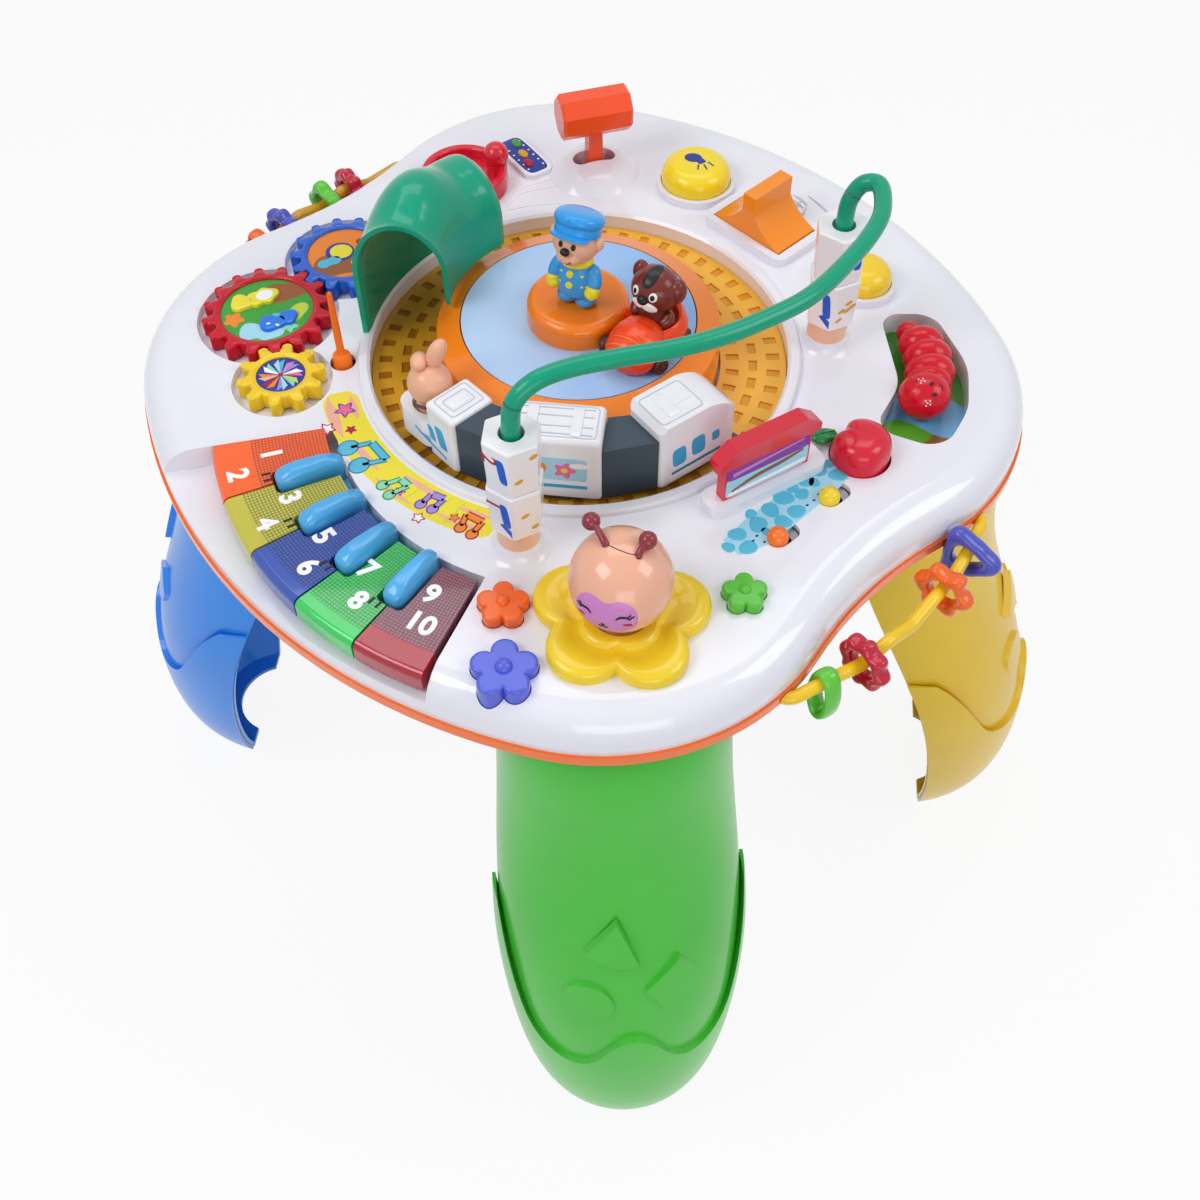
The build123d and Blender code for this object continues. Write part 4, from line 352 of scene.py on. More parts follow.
def shell_pattern(tree, place):
    """White; on the floor of the kidney-shaped recess a meadow with a stream and earth."""
    low = step_over(tree, axis(tree, place, "Z"), 367.7 * MM, 0.0003)
    far = step_over(tree, axis(tree, place, "X"), 0.14)
    within = add_node(
        tree, "ShaderNodeMath", {"operation": "LESS_THAN"}, {1: 0.214},
        {0: polar(tree, place, (0, 0))[0]},
    ).outputs[0]
    south = step_over(tree, axis(tree, place, "Y"), -0.082)
    cloud = add_node(
        tree, "ShaderNodeTexNoise", values={"Scale": 26.0, "Detail": 1.0}, links={"Vector": place}
    ).outputs["Fac"]
    grass = blend(tree, step_over(tree, cloud, 0.56, 0.02), "#5DAE35", "#8A5A2C")
    y = axis(tree, place, "Y")
    wavy = add_node(
        tree, "ShaderNodeMath", {"operation": "MULTIPLY_ADD"}, {1: 0.05}, {0: cloud, 2: y}
    ).outputs[0]
    sky = step_over(tree, wavy, -0.0225, 0.0006)
    band = step_over(tree, wavy, 0.0035, 0.0006)
    meadow = blend(tree, sky, grass, blend(tree, band, "#6FB6E4", "#4E9E3A"))
    inside = add_node(
        tree, "ShaderNodeMath", {"operation": "SUBTRACT", "use_clamp": True}, None, {0: far, 1: low}
    ).outputs[0]
    for limit in (within, south):
        inside = add_node(
            tree, "ShaderNodeMath", {"operation": "MULTIPLY"}, None, {0: inside, 1: limit}
        ).outputs[0]
    return blend(tree, inside, "#EDEEF7", meadow), None


# %% Finishes of the CAD nodes
# ABS is polished to sharp, bright highlights; polypropylene, on the legs, is waxier and its
# highlights are broader; the clear keys shine most. What is textured or rubber barely shines.
FINISHES = {
    "top_shell": moulded(
        "white_abs_polished", "#EDEEF7", 0.16, 0.5, 0.03, 0.012, pattern=shell_pattern
    ),
    "rim_band": moulded("orange_abs_polished", "#FF7420"),
    "bottom_cover": moulded("white_abs_textured", "#E4E4EA", 0.42, 0.0, 0.2),
    "battery_door": moulded("grey_abs_textured", "#B9BCC6", 0.45, 0.0, 0.2),
    "sound_unit": moulded("green_glass_epoxy", "#1F7A45", 0.35, 0.2, 0.1),
    "screws": moulded("zinc_plated_steel", "#B8BCC4", 0.3, 0.0, 0.05),
    "leg_front": moulded("green_polypropylene", "#4CC63F", 0.3, 0.25, 0.05, 0.05),
    "leg_left": moulded("blue_polypropylene", "#3390F5", 0.3, 0.25, 0.05, 0.05),
    "leg_right": moulded("yellow_polypropylene", "#F2C92F", 0.3, 0.25, 0.05, 0.05),
    "leg_back": moulded("red_polypropylene", "#E4402F", 0.3, 0.25, 0.05, 0.05),
    "track_plate": moulded("amber_abs_track", "#F0B138", 0.3, 0.3, pattern=track_pattern),
    "bead_tube": moulded("green_bent_tube", "#00A07A", 0.24, 0.12),
    "tower_collars": moulded("peach_abs_collar", "#F2BD9C"),
    "station_sign": moulded("red_abs_sign", "#E0263C"),
    "flower_bezel": moulded("yellow_abs_petals", "#F9D72B"),
    "bead_rods": moulded("yellow_abs_rod", "#F5C823", pattern=rod_pattern),
    "carousel_ring": moulded("orange_abs_ring", "#FF8A1E"),
    "train_engine": moulded("white_abs_train", "#F2F3F8", 0.2, 0.4, 0.03, 0.012),
    "train_chassis": moulded("slate_abs_chassis", "#3A4A58", 0.4, 0.1),
    "picture_disc": moulded("light_blue_disc_with_painted_light", "#9CC8F5", 0.25, 0.3, pattern=disc_pattern),
    "pedestal": moulded("orange_abs_pedestal", "#FF8416"),
    "number_block_1": moulded("white_abs_blocks", "#F4F3F7", 0.22, 0.35, 0.03, 0.012),
    "gear_red": moulded("red_abs_gear", "#C80A26", 0.24, 0.15),
    "gear_blue": moulded("blue_abs_gear", "#1E62D0"),
    "gear_yellow": moulded("yellow_abs_gear", "#F7CF1B"),
    "crank_dial": moulded("red_abs_dial", "#DC1E36"),
    "hammer": moulded("orange_abs_hammer", "#FF5524"),
    "rocker_switch": moulded("orange_abs_rocker", "#FF941C"),
    "flick_stick": moulded("orange_rubber_stick", "#FF7A1E", 0.45, 0.0),
    "lamp_button": moulded("yellow_abs_button", "#FBE124"),
    "dome_knob": moulded("yellow_abs_knob", "#FAD327"),
    "flower_button_orange": moulded("orange_abs_flower", "#FF6A1A"),
    "flower_button_indigo": moulded("indigo_abs_flower", "#5464DC"),
    "flower_button_green": moulded("green_abs_flower", "#5CC43A"),
    "power_slider": moulded("orange_abs_slider", "#FF7A1E"),
    "volume_slider": moulded("yellow_abs_slider", "#F9D72B"),
    "grub": moulded("red_abs_grub", "#D80826", 0.24, 0.15),
    "key_1": moulded(
        "clear_orange_key", "#F2581A", 0.12, 0.7,
        pattern=key_pattern("#FF6A1E", "#D23A10", "#FF6414", 181),
    ),
    "key_2": moulded(
        "clear_yellow_key", "#C3C04A", 0.12, 0.7,
        pattern=key_pattern("#CFCB4C", "#8F8A22", "#C9C23C", 191),
    ),
    "key_3": moulded(
        "clear_blue_key", "#2E4FA8", 0.12, 0.7,
        pattern=key_pattern("#3A5DB8", "#1C3486", "#2C52B4", 192),
    ),
    "key_4": moulded(
        "clear_green_key", "#2FC257", 0.12, 0.7,
        pattern=key_pattern("#38CC62", "#149A3C", "#2CD060", 192),
    ),
    "key_5": moulded(
        "clear_maroon_key", "#8C1E3A", 0.12, 0.7,
        pattern=key_pattern("#95566A", "#6B1C38", "#B01230", 187),
    ),
    "bead_1": moulded("green_abs_bead", "#63C93B"),
    "bead_2": moulded("red_abs_bead", "#C41638"),
    "bead_3": moulded("orange_abs_bead", "#F46A1E"),
    "bead_4": moulded("purple_abs_bead", "#4F55C0"),
    "rear_beads": moulded("mixed_abs_beads", "#F46A1E", pattern=rear_bead_pattern),
}
SAME_AS = {
    "train_middle_car": "train_engine",
    "train_rear_car": "train_engine",
    "number_block_2": "number_block_1",
    "number_block_3": "number_block_1",
    "number_block_4": "number_block_1",
}
green_shell = moulded("green_abs_tunnel", "#00A27E", 0.18, 0.16)
peach_vinyl = moulded("peach_vinyl", "#F5B999", 0.32, 0.2, subsurface=0.08)
peach_head = moulded("peach_abs_head", "#F6B79A", 0.2, 0.5, subsurface=0.05)
maroon_feeler = moulded("maroon_abs_feelers", "#8E2A38")
coat_blue = moulded("blue_vinyl_coat", "#3E9DE0", 0.35, 0.15)
cap_blue = moulded("blue_vinyl_cap", "#2EA0EC", 0.28, 0.3)
trim_yellow = moulded("yellow_vinyl_trim", "#F0E030", 0.35, 0.15)
carrot_orange = moulded("orange_vinyl_carrot", "#FA4A1A", 0.28, 0.3)
wheel_brown = moulded("brown_abs_wheels", "#4A2A26", 0.4, 0.1)
fur_brown = moulded("brown_vinyl_fur", "#74261C", 0.3, 0.3)
sharp_blue = moulded("light_blue_abs_sharps", "#4FB0EC", 0.2, 0.45)
apple_red = moulded("red_abs_apple", "#DE1634")
leaf_green = moulded("green_abs_leaf", "#12823E")
# The grey seam ink paints shade: in the grooves of the train's roof and in the slots of the slide
# knobs. It also colours the raised marks beside the rocker.
ink = {
    name: printed("ink_" + name, code)
    for name, code in {
        "white": "#FFFFFF", "black": "#16161A", "red": "#B01A3C", "blue": "#1C5CD0",
        "cyan": "#35A9DF", "navy": "#243A98", "yellow": "#F2E23C", "pink": "#F3B49E",
        "rose": "#EE6FA2", "sky": "#58BEDD", "teal": "#1E86A8", "amber": "#E2A93A",
        "green": "#3FA13A", "brown": "#9A5A2C", "purple": "#8C3FA6", "mauve": "#D588CC",
        "seam": "#C6CAD6", "lime": "#C6DC4A", "orange": "#F58A2E", "aqua": "#A8DDF0",
        "mint": "#8FD8C0", "lilac": "#A090DC", "maroon": "#7A1A30",
    }.items()
}
for name, node in nodes.items():
    node.data.materials.clear()
    node.data.materials.append(FINISHES.get(SAME_AS.get(name, name), green_shell))
print("finished nodes:", len(nodes))

# %% [markdown]
# ## Surfaces as formulas
# Every new piece is worked out as arrays: a ball from two angles, a lathe shape from a profile,
# a tube from a path, a plate from an outline. Each is a closed grid of points. A piece joins
# several of them in one mesh, merges the doubled points and turns all faces outward.


# %% Grids to meshes
def quads(grid):
    """Points and four-sided faces of a grid of points."""
    rows, columns = grid.shape[:2]
    index = np.arange(rows * columns).reshape(rows, columns)
    faces = np.stack([index[:-1, :-1], index[:-1, 1:], index[1:, 1:], index[1:, :-1]], -1)
    return grid.reshape(-1, 3), faces.reshape(-1, 4)


def piece(name, parts, body, replaces=(), sharp=38):
    """One mesh from closed surfaces in millimetres, each with its finish, that rides on a body."""
    points, faces, finish, kinds, first = [], [], [], [], 0
    for surface, material in parts:
        spots, sides = surface if isinstance(surface, tuple) else quads(surface)
        if material not in kinds:
            kinds.append(material)
        points.append(spots)
        faces += (sides + first).tolist()
        finish += [kinds.index(material)] * len(sides)
        first += len(spots)
    mesh = bpy.data.meshes.new(name)
    mesh.from_pydata((np.vstack(points) * MM).tolist(), [], faces)
    for material in kinds:
        mesh.materials.append(material)
    mesh.polygons.foreach_set("material_index", finish)
    form = bmesh.new()
    form.from_mesh(mesh)
    bmesh.ops.remove_doubles(form, verts=form.verts, dist=3e-6)
    bmesh.ops.recalc_face_normals(form, faces=form.faces)
    form.to_mesh(mesh)
    form.free()
    mesh.shade_smooth()
    mesh.set_sharp_from_angle(angle=radians(sharp))
    thing = bpy.data.objects.new(name, mesh)
    bpy.context.scene.collection.objects.link(thing)
    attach(thing, body)
    if replaces:
        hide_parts(*replaces)
    print(f"{name}: {len(mesh.polygons)} faces on {body}")
    return thing


# %% Places and directions
def at(radius, azimuth, centre=(0.0, 0.0)):
    """Plan position at a radius and an azimuth about a centre."""
    return np.array(
        [
            centre[0] + radius * np.cos(radians(azimuth)),
            centre[1] + radius * np.sin(radians(azimuth)),
        ]
    )


def facing(azimuth, lift=0.0, roll=0.0):
    """Rows right, up and outward of something that looks along an azimuth, lifted and rolled."""
    a, e, r = radians(azimuth), radians(lift), radians(roll)
    out = np.array([np.cos(a) * np.cos(e), np.sin(a) * np.cos(e), np.sin(e)])
    up = np.array([-np.cos(a) * np.sin(e), -np.sin(a) * np.sin(e), np.cos(e)])
    right = np.cross(up, out)
    return np.array([np.cos(r) * right + np.sin(r) * up, np.cos(r) * up - np.sin(r) * right, out])


FLAT = np.eye(3)  # east, north and up


def placed(surface, origin, axes=FLAT):
    """The surface turned to axes and moved to origin."""
    if isinstance(surface, tuple):
        return placed(surface[0], origin, axes), surface[1]
    return surface @ np.asarray(axes) + np.asarray(origin, float)


def wrapped(surface, centre, radius, axes):
    """Lays a flat surface on a ball: distance from the middle becomes arc length, height stays."""
    if isinstance(surface, tuple):
        return wrapped(surface[0], centre, radius, axes), surface[1]
    x, y, h = np.moveaxis(surface, -1, 0)
    reach = np.hypot(x, y) + 1e-9
    bend = reach / radius
    ball_point = np.stack([x / reach * np.sin(bend), y / reach * np.sin(bend), np.cos(bend)], -1)
    return placed(ball_point * (radius + h)[..., None], centre, axes)


# %% Stickers
def inked(colour):
    """A finish, or the ink of that name."""
    return ink[colour] if isinstance(colour, str) else colour


def sticker(origin, axes):
    """A function that sets a flat surface at a place, in one colour."""
    return lambda surface, colour: (placed(surface, origin, axes), inked(colour))


def ball_sticker(centre, radius, axes):
    """A function that lays a flat surface on a ball, in one colour."""
    return lambda surface, colour: (wrapped(surface, centre, radius, axes), inked(colour))


# %% Balls, lathe shapes, tubes
def ball(centre, radii, axes=FLAT, rows=25, columns=41):
    """Ellipsoid: x = a cos v cos u, y = b cos v sin u, z = c sin v, on axes about a centre."""
    v = np.linspace(-pi / 2, pi / 2, rows)[:, None]
    u = np.linspace(0, 2 * pi, columns)[None, :]
    unit = np.stack([np.cos(v) * np.cos(u), np.cos(v) * np.sin(u), np.sin(v) + 0 * u], -1)
    return placed(unit * np.broadcast_to(radii, 3), centre, axes)


def smooth_line(points, count=40):
    """Catmull-Rom curve: a cubic between neighbours whose slope is half their difference."""
    p = np.asarray(points, float)
    p = np.vstack([2 * p[0] - p[1], p, 2 * p[-1] - p[-2]])
    t = np.linspace(0, len(p) - 3, count)
    i = np.minimum(t.astype(int), len(p) - 4)
    f = (t - i)[:, None]
    a, b, c, d = p[i], p[i + 1], p[i + 2], p[i + 3]
    return (
        2 * b + (c - a) * f + (2 * a - 5 * b + 4 * c - d) * f**2 + (3 * b - 3 * c + d - a) * f**3
    ) / 2


def lathe(profile, centre, axes=FLAT, squeeze=1.0, count=40, columns=49):
    """A profile (radius, height), smoothed, carried once round the outward axis."""
    line = smooth_line(profile, count) if count else np.asarray(profile, float)
    u = np.linspace(0, 2 * pi, columns)[None, :]
    r, h = np.maximum(line[:, :1], 0), line[:, 1:]
    return placed(np.stack([r * np.cos(u), squeeze * r * np.sin(u), h + 0 * u], -1), centre, axes)


def tube(path, radius, count=40, columns=20):
    """A circle carried along a smooth path, shrinking to a round tip at both ends."""
    line = smooth_line(path, count)
    ahead = np.gradient(line, axis=0)
    ahead /= np.linalg.norm(ahead, axis=1, keepdims=True)
    aside = np.cross(ahead, np.where(np.abs(ahead[:, 2:]) < 0.9, [[0.0, 0, 1]], [[1.0, 0, 0]]))
    aside /= np.linalg.norm(aside, axis=1, keepdims=True)
    above = np.cross(aside, ahead)
    run = np.concatenate([[0], np.cumsum(np.linalg.norm(np.diff(line, axis=0), axis=1))])
    size = np.interp(
        np.linspace(0, 1, count), np.linspace(0, 1, len(np.atleast_1d(radius))),
        np.atleast_1d(radius),
    )
    near = np.minimum(np.minimum(run, run[-1] - run) / size, 1)
    size = size * np.sqrt(1 - (1 - near) ** 2)
    u = np.linspace(0, 2 * pi, columns)[None, :, None]
    return line[:, None] + size[:, None, None] * (
        np.cos(u) * aside[:, None] + np.sin(u) * above[:, None]
    )


# %% Outlines, plates and ribbons
def oval(a, b, centre=(0, 0), turn=0.0, power=2.0, count=48):
    """Closed superellipse |x/a|^n + |y/b|^n = 1, turned and moved; n = 2 is an ellipse."""
    u = np.linspace(0, 2 * pi, count + 1)
    c, s = np.cos(u), np.sin(u)
    x, y = a * np.sign(c) * np.abs(c) ** (2 / power), b * np.sign(s) * np.abs(s) ** (2 / power)
    t = radians(turn)
    return np.stack(
        [centre[0] + x * np.cos(t) - y * np.sin(t), centre[1] + x * np.sin(t) + y * np.cos(t)], -1
    )


def wavy(radius, waves, centre=(0, 0), turn=0.0, count=72):
    """Closed outline r = radius (1 + sum of a cos(n angle)), waves being pairs (n, a)."""
    u = np.linspace(0, 2 * pi, count + 1)
    r = radius * (1 + sum(a * np.cos(n * u) for n, a in waves))
    return np.stack(
        [centre[0] + r * np.cos(u + radians(turn)), centre[1] + r * np.sin(u + radians(turn))], -1
    )


def star(radius, centre=(0, 0), turn=90.0, dent=0.5, count=80):
    """Five-pointed star: the radius falls evenly from each point to the dent beside it."""
    u = np.linspace(0, 2 * pi, count + 1)
    fold = np.abs((u * 5 / (2 * pi) + 0.5) % 1 - 0.5) * 2
    r = radius * (1 - (1 - dent) * fold**0.8)
    return np.stack(
        [centre[0] + r * np.cos(u + radians(turn)), centre[1] + r * np.sin(u + radians(turn))], -1
    )


def stacked(outline, steps):
    """Rings of one outline, each a share of its size at a height, about its middle."""
    middle = outline[:-1].mean(0)
    share, height = np.array(steps, float).T
    flat = middle + (outline - middle)[None] * share[:, None, None]
    return np.concatenate([flat, np.broadcast_to(height[:, None, None], flat.shape[:2] + (1,))], -1)


def plate(outline, low, high, edge=0.1):
    """Thin plate: its underside, its side, a rounded edge, and rings across its top."""
    reach = np.linalg.norm(outline - outline[:-1].mean(0), axis=1).max()
    turn = np.linspace(0, pi / 2, 3)
    rim = [(1 - edge / reach * (1 - np.cos(t)), high - edge * (1 - np.sin(t))) for t in turn]
    return stacked(
        outline, [(0, low), (0.5, low), (1, low), *rim, (0.66, high), (0.33, high), (0, high)]
    )


def ribbon(path, width, low, high, smooth=24):
    """A flat bar along a path in plan, closed at both ends."""
    line = smooth_line(path, smooth) if smooth else np.asarray(path, float)
    ahead = np.gradient(line, axis=0)
    ahead /= np.linalg.norm(ahead, axis=1, keepdims=True)
    side = np.stack([-ahead[:, 1], ahead[:, 0]], -1) * (
        np.interp(
            np.linspace(0, 1, len(line)), np.linspace(0, 1, len(np.atleast_1d(width))),
            np.atleast_1d(width),
        ) / 2
    )[:, None]
    rings = [
        np.concatenate([line + s * side, np.full((len(line), 1), h)], 1)
        for s, h in ((-1, low), (1, low), (1, high), (-1, high), (-1, low))
    ]
    grid = np.stack(rings, 1)
    ends = grid[[0, -1]].mean(1, keepdims=True) + 0 * grid[[0, -1]]
    return np.concatenate([ends[:1], grid, ends[1:]])


def filled_in(corners, count=6):
    """A closed outline with points between its corners, so that it can be drawn as a plate."""
    sides = [np.linspace(first, last, count)[:-1] for first, last in zip(corners[:-1], corners[1:])]
    return np.concatenate(sides + [corners[:1]])


def arc(radius, start, end, centre=(0, 0), count=48):
    """Points along a circle between two angles."""
    u = np.radians(np.linspace(start, end, count))
    return np.stack([centre[0] + radius * np.cos(u), centre[1] + radius * np.sin(u)], -1)


def lettering(words, size, low, high, weight=0.0):
    """Numerals of Blender's own font as a solid, centred, from low to high."""
    curve = bpy.data.curves.new("numerals", "FONT")
    curve.body, curve.size, curve.extrude, curve.offset = words, size, 0.5, weight
    curve.align_x, curve.align_y = "CENTER", "CENTER"
    holder = bpy.data.objects.new("numerals", curve)
    mesh = bpy.data.meshes.new_from_object(holder)
    mesh.calc_loop_triangles()
    points = np.empty(len(mesh.vertices) * 3)
    mesh.vertices.foreach_get("co", points)
    points = points.reshape(-1, 3)
    points[:, :2] -= (points[:, :2].max(0) + points[:, :2].min(0)) / 2
    points[:, 2] = np.where(points[:, 2] > 0, high, low)
    corners = np.empty(len(mesh.loop_triangles) * 3, np.int32)
    mesh.loop_triangles.foreach_get("vertices", corners)
    bpy.data.objects.remove(holder)
    bpy.data.curves.remove(curve)
    bpy.data.meshes.remove(mesh)
    return points, corners.reshape(-1, 3)


# %% [markdown]
# ## The tunnel
# The green tunnel is one thin shell that flows from a low back, over a hump, to a flared mouth.
# It could be lofted by hand, but a formula is shorter: a half-ellipse on two straight legs, whose
# height follows a smooth line along the track, drawn twice, outside and inside.

# %% Tunnel
TUNNEL_ROOF = [
    (126, 447.5), (130, 451.5), (135, 452.6), (140, 453.6), (145, 458), (150, 462.2), (155, 464),
    (160, 463.4), (165, 460.4), (170, 457), (175, 455.6),
]
HALF, SKIN, SPRING = 25.3, 2.6, 425.0


def tunnel_skin(azimuth, top, half):
    """Leg, half-ellipse, leg: radius 92.3 + half cos a, height spring + (top - spring) sin a."""
    a = np.linspace(0, pi, 45)
    across = np.concatenate([np.ones(8), np.cos(a), -np.ones(4)])
    lift = np.concatenate([np.zeros(8), np.sin(a), np.zeros(4)])
    leg = np.concatenate(
        [np.linspace(384.6, SPRING - 1, 8), np.full(45, SPRING), np.linspace(SPRING - 1, 407.6, 4)]
    )
    r = 92.3 + half[:, None] * across
    z = leg + (top - SPRING)[:, None] * lift
    return np.stack([r * np.cos(azimuth)[:, None], r * np.sin(azimuth)[:, None], z], -1)


line = smooth_line(TUNNEL_ROOF, 90)
mouth = np.exp(-(((175 - line[:, 0]) / 1.3) ** 2))
back = np.exp(-(((line[:, 0] - 126) / 1.6) ** 2))
swell = 1.6 * mouth - 1.8 * back
outer = tunnel_skin(np.radians(line[:, 0]), line[:, 1] + swell, HALF - 1.4 + swell * 0.8)
inner = tunnel_skin(
    np.radians(line[:, 0]), line[:, 1] + swell - SKIN, HALF - 1.4 - SKIN + swell * 0.8
)
loop = np.concatenate([outer, inner[:, ::-1], outer[:, :1]], 1)
middle = np.concatenate(
    [(outer + inner) / 2, ((outer + inner) / 2)[:, ::-1], ((outer + inner) / 2)[:, :1]], 1
)
piece(
    "tunnel_hood", [(np.concatenate([middle[:1], loop, middle[-1:]]), green_shell)], "table",
    ["tunnel"], 50,
)

# %% [markdown]
# ## The figures
# The engine driver, the animal in its carrot car and the passenger are soft vinyl figures:
# balls and lathe shapes that run into each other, with the features painted on. Each feature is
# laid on its ball by arc length, so that it follows the curve instead of floating before it.

# %% Driver
LOOK = -118.0
driver_axes = facing(LOOK)
STAND = np.array([0.0, -3.5, 0.0])


def on_driver(x, up, out):
    return STAND + x * driver_axes[0] + up * driver_axes[1] + out * driver_axes[2]


upright = np.array([driver_axes[0], driver_axes[2], [0, 0, 1]])
HEAD = on_driver(0, 457.0, 0)
on_head = ball_sticker(HEAD, 11.3, driver_axes)
driver = [
    (
        lathe(
            
            [
                (0, 426.4), (8.8, 426.6), (10.6, 429), (10.8, 433), (10.0, 438.5), (8.6, 443),
                (6.4, 446.4), (0, 448),
            ],
            STAND, upright, 0.86,
        ),
        coat_blue,
    ),
    (
        lathe(
            [(4.0, 444.8), (8.2, 445.0), (8.7, 446.2), (7.2, 447.8), (4.0, 448)], STAND, upright,
            0.9, 24,
        ),
        trim_yellow,
    ),
    (ball(HEAD, (12.2, 11.4, 10.6), upright), peach_vinyl),
    (ball(on_driver(0, 453.4, 8.2), (6.6, 4.6, 5.0), driver_axes), peach_vinyl),
    (ball(on_driver(0, 458.6, 12.6), (2.5, 2.1, 2.0), driver_axes), ink["black"]),
]
for side in (-1, 1):
    driver += [
        (ball(on_driver(side * 5.2, 423.0, 0.6), (5.6, 4.1, 6.8), driver_axes), coat_blue),
        (ball(on_driver(side * 5.0, 427.6, -0.2), (5.9, 6.6, 6.4), driver_axes), coat_blue),
        (
            tube(
                
                [
                    on_driver(side * 6.0, 443.5, 0), on_driver(side * 9.4, 440.6, 0.8),
                    on_driver(side * 11.0, 436.4, 2.6), on_driver(side * 10.4, 432.6, 5.2),
                ],
                [3.4, 4.1, 4.0, 3.4], 24, 18,
            ),
            coat_blue,
        ),
        (
            tube(
                
                [
                    on_driver(side * 11.3, 435.6, 2.6), on_driver(side * 10.6, 432.0, 5.4),
                    on_driver(side * 8.4, 431.0, 8.2),
                ],
                [4.3, 4.4, 3.3], 20, 18,
            ),
            trim_yellow,
        ),
        (ball(on_driver(side * 11.8, 458.6, -0.6), (2.9, 3.8, 3.4), driver_axes), peach_vinyl),
        on_head(plate(oval(1.2, 1.6, (side * 3.6, 4.0)), -0.4, 0.5), "black"),
    ]
for x, y, big in (
    (0, 441.4, 1), (0, 435.4, 1), (-5, 440.8, 0), (5.2, 440.6, 0), (-5.2, 435.2, 0), (5.4, 434.8, 0)
):
    shape = oval(1.9, 1.9) if big else oval(1.6, 0.7, turn=12)
    depth = 7.9 if y > 439 else 9.0
    driver.append(
        (
            placed(
                plate(shape, -1.6, 0.9 if big else 0.4, 0.4), on_driver(x, y, depth - 0.06 * x * x),
                driver_axes,
            ),
            trim_yellow,
        )
    )
driver.append(
    (
        placed(
            ribbon([(-2.6, 0.7), (-1, -0.3), (1, -0.4), (2.8, 0.5)], 0.9, -1, 0.35),
            on_driver(0.4, 452.6, 12.6), driver_axes,
        ),
        ink["red"],
    )
)
CAP_TILT = radians(24)
cap_ahead = np.cos(CAP_TILT) * driver_axes[2] + (0, 0, np.sin(CAP_TILT))
cap_up = (0, 0, np.cos(CAP_TILT)) - np.sin(CAP_TILT) * driver_axes[2]
cap_axes = np.array([driver_axes[0], cap_ahead, cap_up])
CROWN = on_driver(0, 461.2, -0.6)
on_crown = sticker(CROWN, cap_axes)
driver += [
    (
        lathe(
            
            [
                (0, 0), (10.8, 0.1), (11.8, 0.8), (11.9, 2.8), (11.6, 4.6), (12.2, 5.2),
                (12.9, 7.0), (12.4, 9.2), (10.4, 10.8), (6, 11.6), (0, 11.9),
            ],
            CROWN, cap_axes, 1.0, 60,
        ),
        cap_blue,
    ),
    on_crown(
        stacked(
            oval(10.6, 5.6, (0, 8.8)),
            [(0, -0.6), (0.7, -0.6), (0.98, -0.9), (1, -0.4), (0.97, 0.3), (0.6, 1.2), (0, 1.5)],
        ),
        cap_blue,
    ),
    (
        placed(
            plate(oval(1.1, 1.1), -0.5, 0.5, 0.3), CROWN + 12.6 * cap_axes[1] + 8.2 * cap_axes[2],
            np.array([cap_axes[0], cap_axes[2], cap_axes[1]]),
        ),
        cap_blue,
    ),
]
piece("driver_on_pedestal", driver, "turntable", ["driver_figure"])

# %% Carrot car
ANIMAL = np.array([39.5, -17.5, 0.0])
NOSE = np.array([29.0, -34.0, 414.8])
ahead = facing(238.5, -14)
profile = smooth_line(
    [
        (0, -15), (9, -13.5), (13.0, -8), (14.4, -2), (14.2, 4), (12.4, 9), (9.0, 12.6),
        (5.0, 14.2), (0, 14.6),
    ],
    80,
)
profile[:, 0] *= 1 - 0.022 * (np.abs(np.cos(np.linspace(0, 4 * pi, 80))) > 0.97)
carrot = [(lathe(profile, NOSE, ahead, 0.86, count=0, columns=65), carrot_orange)]
for h, r, start, end in ((4.6, 14.2, 40, 130), (8.6, 12.7, 55, 165), (0.4, 14.6, 20, 95)):
    rib = np.radians(np.linspace(start, end, 20))
    line = np.stack([r * np.cos(rib), 0.86 * r * np.sin(rib), np.full(20, h)], -1)
    carrot.append((tube(placed(line, NOSE, ahead), [0.15, 0.45, 0.15], 30, 8), ink["orange"]))
u = np.radians(np.linspace(-98, 158, 60))
dip = 3.5 * np.abs(np.linspace(-1, 1, 60)) ** 2
wall = [
    np.stack([ANIMAL[0] + r * np.cos(u), ANIMAL[1] + r * np.sin(u), z - dip * (z > 417)], -1)
    for r, z in (
        (10.6, 409.0), (15.4, 409.2), (17.0, 413), (16.8, 418), (15.4, 422.4), (13.6, 424.0),
        (12.0, 422.8), (11.2, 418.5), (10.6, 409.0),
    )
]
wall = np.stack(wall, 1)
ends = wall[[0, -1]].mean(1, keepdims=True) + 0 * wall[[0, -1]]
carrot.append((np.concatenate([ends[:1], wall, ends[1:]]), carrot_orange))
carrot.append(
    (
        lathe(
            [(0, 408.6), (14.4, 408.6), (15.2, 411), (14.4, 413.6), (11, 414.4), (0, 414.4)],
            ANIMAL, FLAT, count=30,
        ),
        carrot_orange,
    )
)
for hub, turn in (
    ((55.0, -21.5, 409.6), -20), ((41.4, -43.0, 409.6), -52), ((27.4, -6.2, 409.6), 128),
    ((13.6, -27.2, 409.6), 170),
):
    wheel = [
        (0, -2.4), (3.6, -2.4), (4.5, -1.4), (4.5, 1.2), (3.7, 2.2), (2.0, 1.8), (1.4, 2.4),
        (0, 2.4),
    ]
    carrot.append((lathe(wheel, hub, facing(turn), count=30), wheel_brown))
piece("carrot_shaped_car", carrot, "turntable", ["carrot_car"])

# %% Animal
look = facing(-126, 6)
FACE = np.array([39.2, -18.0, 438.8])
on_fur, on_cheek = ball_sticker(FACE, 11.9, look), ball_sticker(FACE, 11.8, look)
body_axes = np.array([facing(-124)[0], facing(-124)[2], [0, 0, 1]])


def on_face(x, up, out):
    return FACE + x * look[0] + up * look[1] + out * look[2]


